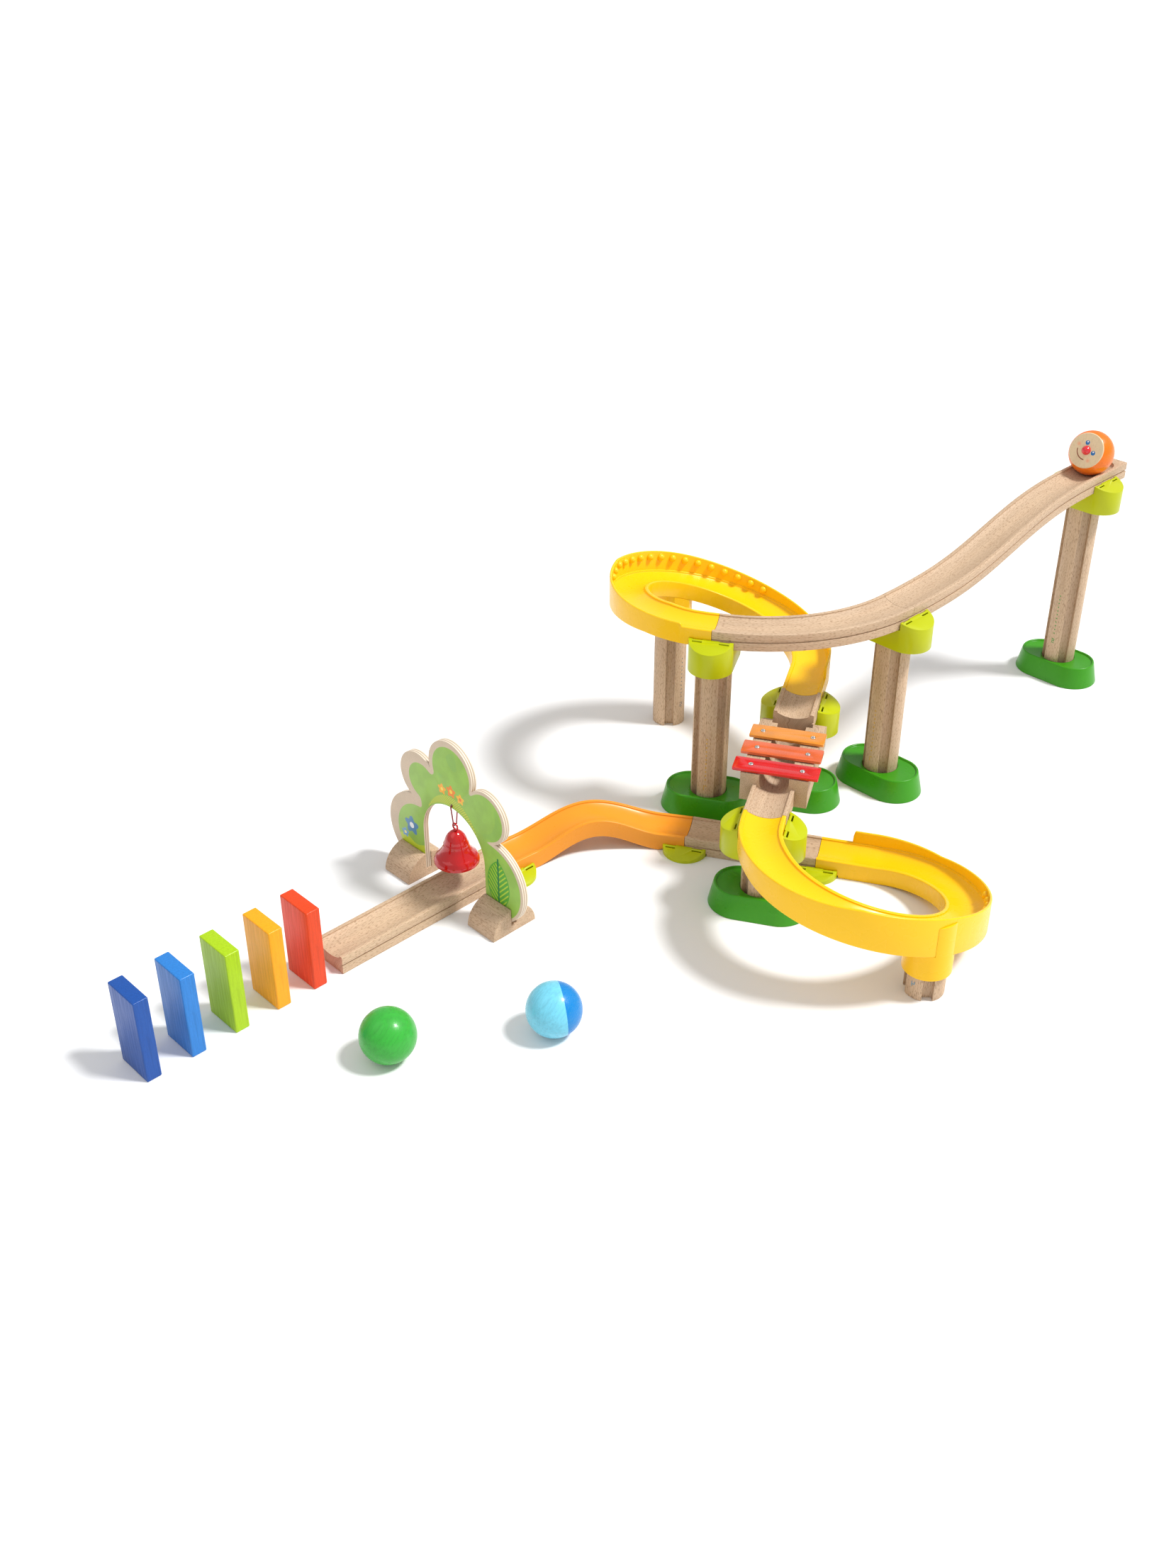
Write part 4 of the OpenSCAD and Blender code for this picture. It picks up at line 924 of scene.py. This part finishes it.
# ---------------------------------------------------------------- operators
class RUN_OT_stage(bpy.types.Operator):
    """Camera, soft studio light and a pale floor"""
    bl_idname = "run.stage"
    bl_label = "Stage"

    def execute(self, context):
        cam = linked("camera", bpy.data.cameras.new("camera"))
        cam.location = (-1.4420, -0.7503, 0.8547)
        cam.rotation_euler = (math.radians(90 - 31.81), 0, math.radians(45.85 - 90))
        cam.data.lens = 36.88
        cam.data.sensor_width = 36
        cam.data.shift_y = -0.02116
        cam.data.clip_end = 60
        context.scene.camera = cam
        mesh = bpy.data.meshes.new("floor")
        s = 14.0
        mesh.from_pydata([(-s, -s, 0), (s, -s, 0), (s, s, 0), (-s, s, 0)], [], [(0, 1, 2, 3)])
        f = Finish("floor_card", Specular_IOR_Level=0.1)
        soft = f.noise(f.place(), 3.0, 2.0)
        f.give(Base_Color=f.mix(soft, (0.90, 0.90, 0.905), (0.915, 0.915, 0.92)),
               Roughness=soft.ramp(0.0, 1.0, 0.85, 0.95))
        mesh.materials.append(f.material)
        floor = linked("floor", mesh)
        world = bpy.data.worlds.new("studio")
        world.use_nodes = True
        world.node_tree.nodes["Background"].inputs[0].default_value = (1, 1, 1, 1)
        world.node_tree.nodes["Background"].inputs[1].default_value = 0.60
        context.scene.world = world
        sun = bpy.data.lights.new("key", "SUN")
        sun.energy = 3.1
        sun.angle = math.radians(11)
        key = linked("key", sun)
        # The key comes from the viewer's right and a little from behind the run.
        toward = np.array([0.555, -0.66, 1.30])
        yaw = math.atan2(toward[1], toward[0])
        tilt = math.atan2(math.hypot(toward[0], toward[1]), toward[2])
        key.rotation_euler = (0, tilt, yaw)
        panel = bpy.data.lights.new("fill", "AREA")
        panel.energy = 5
        panel.size = 1.6
        fill = linked("fill", panel)
        fill.location = (-1.9, 0.5, 1.9)
        aim = np.array([-0.45, 0.0, 0.05]) - np.array(fill.location)
        fill.rotation_euler = (math.atan2(math.hypot(aim[0], aim[1]), -aim[2]), 0,
                               math.atan2(aim[1], aim[0]) - math.pi / 2)
        context.scene.view_settings.view_transform = "Standard"
        context.scene.view_settings.look = "None"
        return {"FINISHED"}


class RUN_OT_cord(bpy.types.Operator):
    """The bell's loop of twisted cord"""
    bl_idname = "run.cord"
    bl_label = "Bell cord"

    def execute(self, context):
        look = context.scene.run_parts
        low, high = node_box("bell_cord")
        cx, r = (low[0] + high[0]) / 2, 0.6
        top, foot = high[2] - r, low[2] + r
        wide = (high[0] - low[0]) / 2 - r
        narrow = 1.7
        half = [(wide - 1.2, top), (wide - 0.36, top - 0.36), (wide, top - 1.2),
                (wide - 0.4 * (wide - narrow), top - 0.42 * (top - foot)),
                (wide - 0.75 * (wide - narrow), top - 0.72 * (top - foot)),
                (narrow, foot + 1.2), (narrow - 0.36, foot + 0.36), (narrow - 1.2, foot)]
        route = half + [(-x, z) for x, z in half[::-1]]
        path = smooth_line([(cx + x, AT_ARCH[1], z) for x, z in route], 6, closed=True)
        tube("bell_cord_looks", path, r, twisted_cord("cord_twist", look.cord_red),
             closed=True, body="bell_cord", replaces=("bell_cord",), slot="red_cord")
        return {"FINISHED"}


class RUN_OT_wood(bpy.types.Operator):
    """Beech tracks: the ramp, the bend, the floor tracks and the chime's two stubs"""
    bl_idname = "run.wood"
    bl_label = "Wooden tracks"

    def execute(self, context):
        along = beech("beech_track", uv=True)
        ramp_piece(along)
        seam = math.degrees(SEAM / 2 / BEND_R)
        stations = [[*after_bend(AT_BEND_IN, BEND_R, float(a), -1), Z_BEND]
                    for a in np.linspace(seam, BEND_A - seam, 60)]
        wood_run("bend_looks", stations, along, "upper_bend")
        straight_run("short_track_looks", AT_LINK_LOOP, SHORT_L, 0, along,
                     "short_floor_track", (True, True))
        straight_run("long_track_looks", AT_LINK_LONG, LONG_L, 0, along,
                     "long_floor_track", (True, False))
        straight_run("upper_stub_looks", AT_CHIME, BLOCK_AT + STUB_IN, Z_CHIME, along,
                     "chime_upper_stub")
        straight_run("lower_stub_looks", AT_CHIME, CHIME_L, Z_FRONT, along,
                     "chime_lower_stub", start=BLOCK_AT + BLOCK_L + 0.05)
        return {"FINISHED"}


class RUN_OT_loops(bpy.types.Operator):
    """The moulded loops with their beads and sockets, and the orange hump bend"""
    bl_idname = "run.loops"
    bl_label = "Moulded tracks"

    def execute(self, context):
        look = context.scene.run_plastic
        yellow = moulded("yellow_moulding", look.yellow, 0.27)
        orange = moulded("orange_moulding", look.orange, 0.3)
        loop_piece("upper_loop_looks", AT_BEND_OUT, Z_BEND, Z_CHIME, -1, yellow, "upper_loop")
        loop_piece("lower_loop_looks", AT_FRONT, Z_FRONT, 0, 1, yellow, "lower_loop")
        hump_piece(orange)
        for node in ("upper_loop_beads", "lower_loop_beads", "upper_loop_socket",
                     "lower_loop_socket"):
            dress(node, yellow)
        return {"FINISHED"}


POSTS = (("post_start", 0, 180, 42, (0.03, 0.30, 0.05), 9),
         ("post_bend_in", 0, 180, 31, (0.62, 0.36, 0.05), 7),
         ("post_bend_out", -60, 210, 28, (0.62, 0.36, 0.05), 7),
         ("post_loop_upper", 0, 270, 21, (0.12, 0.15, 0.18), 5),
         ("post_chime", 30, 210, 28, (0.62, 0.36, 0.05), 5),
         ("post_front", 30, 210, 28, (0.62, 0.36, 0.05), 4),
         ("post_loop_lower", 0, 180, 12, (0.02, 0.25, 0.42), 4))


class RUN_OT_posts(bpy.types.Operator):
    """Seven grooved posts with printed scales, and five feet"""
    bl_idname = "run.posts"
    bl_label = "Posts and feet"

    def execute(self, context):
        for node, turn, side, low, shade, numeral in POSTS:
            c = sum(node_box(node)) / 2
            wood = beech("beech_" + node, (0, 90, 0), (c[0] * MM, c[1] * MM, 0),
                         marks=post_marks((c[0], c[1]), side, low, shade, numeral))
            post_piece(node + "_looks", node, 45 + turn, wood)
        green = moulded("green_moulding", context.scene.run_plastic.green, 0.3)
        for node, place in (("foot_start", AT_START), ("foot_bend_in", AT_BEND_IN),
                            ("foot_bend_out", turned(AT_BEND_OUT, 90)),
                            ("foot_chime", AT_CHIME), ("foot_front", AT_FRONT)):
            foot_piece(node + "_looks", place, green, node)
        return {"FINISHED"}


class RUN_OT_links(bpy.types.Operator):
    """Lime connectors under the raised tracks and floor links under the low ones"""
    bl_idname = "run.links"
    bl_label = "Connectors"

    def execute(self, context):
        lime = moulded("lime_moulding", context.scene.run_plastic.lime, 0.33)
        for node in ("connector_start", "connector_bend_in", "connector_bend_out",
                     "connector_chime", "connector_front", "floor_link_loop",
                     "floor_link_hump", "floor_link_long"):
            softened(node, 0.6, lime)
        return {"FINISHED"}


class RUN_OT_chime(bpy.types.Operator):
    """The chime: its block, felt pads coloured near-black as painted shade under the bars,
    three lacquered bars and their screws
    """
    bl_idname = "run.chime"
    bl_label = "Chime"

    def execute(self, context):
        look = context.scene.run_parts
        block = beech("beech_block", (0, 0, 150), (AT_CHIME[0] * MM, AT_CHIME[1] * MM, 0))
        softened("chime_block", 0.7, block)
        # Felt pads under the bars, near-black: their dark colour is painted shade under the
        # bars.
        dress("chime_felt", felt("felt_with_painted_shade", (0.05, 0.035, 0.03)))
        for node, shade in (("chime_bar_amber", look.bar_amber),
                            ("chime_bar_orange", look.bar_orange),
                            ("chime_bar_red", look.bar_red)):
            softened(node, 0.35, lacquered(node + "_lacquer", shade, 0.15, 0.2))
        plated = steel("plated_steel")
        top = Z_FRONT + BLOCK_H + FELT_T + 0.1 + BAR_T + 0.05
        for i in range(3):
            for s in (-1, 1):
                p = ahead(AT_CHIME, BLOCK_AT + BAR_1 + BAR_STEP * i, s * SCREW_Y)
                name = "screw_%d_%s" % (i + 1, "left" if s > 0 else "right")
                screw_head(name, p, top, plated)
        return {"FINISHED"}


def screw_head(name, place, z, material):
    """A domed head on a polar grid, with a cross sunk into it: the depth is the larger of
    two soft slots' depths, and it fades towards the head's edge."""
    n, m, radius, high = 22, 64, 2.3, 1.1
    r = np.linspace(0.02, 1, n)[:, None] * radius
    a = np.linspace(0, 2 * np.pi, m, endpoint=False)[None]
    x, y = r * np.cos(a), r * np.sin(a)
    slot_x = 1 / (1 + (np.abs(x) / 0.32) ** 6)
    slot_y = 1 / (1 + (np.abs(y) / 0.32) ** 6)
    reach = 1 / (1 + (r / (0.62 * radius)) ** 10)
    up = high * np.sqrt(np.clip(1 - (r / radius) ** 2 * 0.97, 0, 1))
    up = up - 0.6 * np.maximum(slot_x, slot_y) * reach
    xy = turn_points(np.stack([x, y], -1), turned(place, 20))
    pts = np.concatenate([xy, (z + up)[..., None]], -1)
    skirt = pts[-1:].copy()
    skirt[..., 2] = z
    pts = np.concatenate([pts, skirt])
    piece(name, pts, capped_faces(n + 1, m), material, replaces=("chime_screws",),
          slot="bright_steel")


class RUN_OT_arch(bpy.types.Operator):
    """The plywood arch with its print, and its two half-round feet"""
    bl_idname = "run.arch"
    bl_label = "Arch"

    def execute(self, context):
        softened("arch_panel", 0.5, arch_finish("arch_print_look"))
        foot = beech("beech_arch_foot", (0, 0, 90), (AT_ARCH[0] * MM, AT_ARCH[1] * MM, 0))
        for node in ("arch_foot_near", "arch_foot_far"):
            softened(node, 0.8, foot)
        return {"FINISHED"}


class RUN_OT_bell(bpy.types.Operator):
    """The enamelled bell with its eye and clapper"""
    bl_idname = "run.bell"
    bl_label = "Bell"

    def execute(self, context):
        enamel = lacquered("red_enamel_coat", context.scene.run_parts.bell_red, 0.1, 0.12)
        low = node_box("bell_shell")[0]
        rad, tall, wall = 20.0, 31.0, 1.2
        line = [(1, 0), (1, .06), (.94, .16), (.8, .27), (.66, .4), (.575, .52), (.51, .66),
                (.45, .78), (.36, .88), (.24, .96), (.14, 1)]
        outer = smooth_line([(r * rad, t * tall) for r, t in line], 5)
        bead = 0.45 * np.exp(-((outer[:, 1] - 0.60 * tall) / 0.7) ** 2)
        bead += 0.35 * np.exp(-((outer[:, 1] - 0.20 * tall) / 0.6) ** 2)
        outer = outer + np.stack([np.minimum(bead, rad - outer[:, 0]), 0 * bead], 1)
        inner = smooth_line([(max(0.5, r * rad - wall), t * (tall - wall)) for r, t in line], 5)
        profile = np.concatenate([outer, [[0.05, tall]], [[0.05, tall - wall]], inner[::-1]])
        lathe("bell_looks", profile, (AT_ARCH[0], AT_ARCH[1], low[2]), enamel, 96,
              body="bell", replaces=("bell_shell",), slot="red_enamel")
        dress("bell_eye", enamel)
        dress("bell_clapper", steel("clapper_steel"))
        return {"FINISHED"}


class RUN_OT_dominoes(bpy.types.Operator):
    """Five painted dominoes"""
    bl_idname = "run.dominoes"
    bl_label = "Dominoes"

    def execute(self, context):
        wood = context.scene.run_wood
        for name in ("red", "amber", "lime", "blue", "navy"):
            node = "domino_" + name
            low, high = node_box(node)
            c, half = (low + high) / 2, (high - low) / 2
            paint = painted(node + "_paint", tuple(getattr(wood, name)), (0, 90, 0),
                            (c[0] * MM, c[1] * MM, 0), 0.36)
            rounded_box(node + "_looks", (c[0], c[1], 0), c[2], half, 1.1, paint, body=node,
                        replaces=(node,), slot=node)
        return {"FINISHED"}


# Which way the orange ball's face is upright, across its flat disc.
FACE_UP = (-0.72, 0.69)


class RUN_OT_balls(bpy.types.Operator):
    """Three lacquered wooden balls, one with a flat face and a nose"""
    bl_idname = "run.balls"
    bl_label = "Balls"

    def execute(self, context):
        wood = context.scene.run_wood
        for node, shade in (("ball_green", wood.ball_green), ("ball_sky", wood.ball_sky)):
            c = sum(node_box(node)) / 2
            cap = None
            if node == "ball_sky":
                deep = tuple(wood.ball_blue)

                def cap(f, paint, centre=c):
                    x, y, z = f.parts(f.place(centre=tuple(centre * MM)))
                    side = x * 0.80 - y * 0.48 + z * 0.05
                    return f.mix(side.over(6.0 * MM), paint, deep)
            paint = painted(node + "_paint", tuple(shade), (20, 35, 10), tuple(c * MM), 0.26,
                            cap)
            rounded_box(node + "_looks", (c[0], c[1], 0), c[2], (BALL_R,) * 3, BALL_R, paint,
                        96, 192, body=node, replaces=(node,), slot=node)
        r, flat = BALL_R, FACE_R
        deep = math.sqrt(r * r - flat * flat)
        centre = (*ahead(AT_START, 3.7)[:2], Z_START + HOLLOW_Z + r + 0.3)
        spin = (Matrix.Rotation(math.radians(180 + 3), 3, "Z")
                @ Matrix.Rotation(math.radians(-26), 3, "Y")
                @ Matrix.Rotation(math.radians(90), 3, "Y"))
        back = [math.degrees(a) for a in spin.inverted().to_euler("XYZ")]
        here = tuple(v * MM for v in centre)
        f = Finish("orange_face_paint", Coat_Weight=0.15, Coat_Roughness=0.1,
                   Specular_IOR_Level=0.3)
        grain = f.place(back, here)
        lines = f.noise(f.stretched(grain, 700.0, 25.0, 700.0), 1.0, 3.0, 0.6)
        shade = tuple(wood.ball_orange)
        paint = f.mix(lines.ramp(0.3, 0.75), tone(shade, 1.06), tone(shade, 0.88))
        bare, _ = beech_layers(f, grain)
        x, y, z = f.parts(grain)
        paint = f.mix(z.over((deep - 0.75) * MM), paint, f.mix(0.7, bare, (0.84, 0.66, 0.40)))
        ux, uy = FACE_UP
        a, b = x * ux + y * uy, y * ux - x * uy
        ink = z.over((deep - 0.2) * MM)
        for s in (-1, 1):
            eye = ring_distance(a, b, (4.6 * MM, s * 6.3 * MM))
            paint = f.mix(eye.under(2.3 * MM) * ink, paint, (0.02, 0.16, 0.42))
            glint = ring_distance(a, b, (5.3 * MM, (s * 6.3 + 0.7) * MM))
            paint = f.mix(glint.under(0.75 * MM) * ink, paint, (0.95, 0.95, 0.95))
            cheek = ring_distance(a, b, (-3.2 * MM, s * 10.2 * MM))
            paint = f.mix(cheek.ramp(0.0, 3.2 * MM, 0.5, 0.0) * ink, paint, (0.9, 0.2, 0.08))
        smile = abs(ring_distance(a, b, (1.0 * MM, 0)) - 10.2 * MM).under(0.5 * MM)
        smile = smile * a.under(-6.4 * MM) * ink
        paint = f.mix(smile, paint, (0.25, 0.05, 0.02))
        f.give(Base_Color=paint, Roughness=lines.ramp(0.3, 0.7, 0.24, 0.4))
        f.bump(lines, 0.00008, 0.35)
        t = np.linspace(np.pi, math.asin(flat / r) + 0.05, 60)
        rim = smooth_line([(r * math.sin(t[-1]), r * math.cos(t[-1])),
                           (flat - 0.15, deep - 0.05), (flat - 0.9, deep)], 5)
        profile = np.concatenate([np.stack([r * np.sin(t) + 1e-3, r * np.cos(t)], 1), rim,
                                  [[flat * 0.6, deep], [0.02, deep]]])
        turned_piece("ball_orange_looks", profile, centre, spin, f.material,
                     body="ball_orange", replaces=("ball_orange",), slot="ball_orange")
        n = np.linspace(0, np.pi / 2, 24)
        dome = np.stack([4.6 * np.cos(n) + 1e-3, 0.05 + deep + 4.6 * np.sin(n)], 1)
        profile = np.concatenate([[[0.02, deep + 0.05], [3.4, deep + 0.05]], dome])
        turned_piece("nose_looks", profile, centre, spin,
                     lacquered("nose_lacquer", (0.72, 0.02, 0.03), 0.0, 0.2),
                     body="ball_orange", replaces=("ball_nose",), slot="nose_red")
        return {"FINISHED"}


def turned_piece(name, profile, centre, spin, material, turns=128, **more):
    """A profile [radius, height] turned about an axis that a rotation tilts from upright."""
    p = np.asarray(profile, float)
    a = np.linspace(0, 2 * np.pi, turns, endpoint=False)[:, None]
    pts = np.stack([p[:, 0] * np.cos(a), p[:, 0] * np.sin(a), p[:, 1] + 0 * a], -1)
    pts = pts @ np.array(spin).T + np.asarray(centre)
    faces = [tuple(q) for q in grid_faces(turns, len(p), wrap_n=True, wrap_m=False)]
    n = len(p)
    faces += [tuple(i * n for i in range(turns)),
              tuple(i * n + n - 1 for i in range(turns))[::-1]]
    return piece(name, pts, faces, material, **more)


STEPS = (RUN_OT_stage, RUN_OT_cord, RUN_OT_wood, RUN_OT_loops, RUN_OT_posts, RUN_OT_links,
         RUN_OT_chime, RUN_OT_arch, RUN_OT_bell, RUN_OT_dominoes, RUN_OT_balls)


class RUN_PT_panel(bpy.types.Panel):
    """Lists the steps that build the marble run"""
    bl_idname = "RUN_PT_panel"
    bl_label = "Marble Run"
    bl_space_type = "VIEW_3D"
    bl_region_type = "UI"
    bl_category = "Marble Run"

    def draw(self, context):
        for step in STEPS:
            self.layout.operator(step.bl_idname)
        for group in ("run_wood", "run_plastic", "run_parts"):
            box = self.layout.box()
            settings = getattr(context.scene, group)
            for key in settings.bl_rna.properties.keys():
                if key not in ("rna_type", "name"):
                    box.prop(settings, key)


GROUPS = {"run_wood": RUN_PG_wood, "run_plastic": RUN_PG_plastic, "run_parts": RUN_PG_parts}


def register():
    """Registers the settings, the operators and the panel."""
    for key, group in GROUPS.items():
        bpy.utils.register_class(group)
        setattr(bpy.types.Scene, key, PointerProperty(type=group))
    for cls in STEPS + (RUN_PT_panel,):
        bpy.utils.register_class(cls)


def unregister():
    """Takes them away again."""
    for cls in reversed(STEPS + (RUN_PT_panel,)):
        bpy.utils.unregister_class(cls)
    for key, group in GROUPS.items():
        delattr(bpy.types.Scene, key)
        bpy.utils.unregister_class(group)


def main():
    """Builds everything."""
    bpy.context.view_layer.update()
    register()
    for step in STEPS:
        call = bpy.ops
        for word in step.bl_idname.split("."):
            call = getattr(call, word)
        if call() != {"FINISHED"}:
            raise RuntimeError(step.bl_label + " did not finish")


if __name__ == "__main__":
    main()
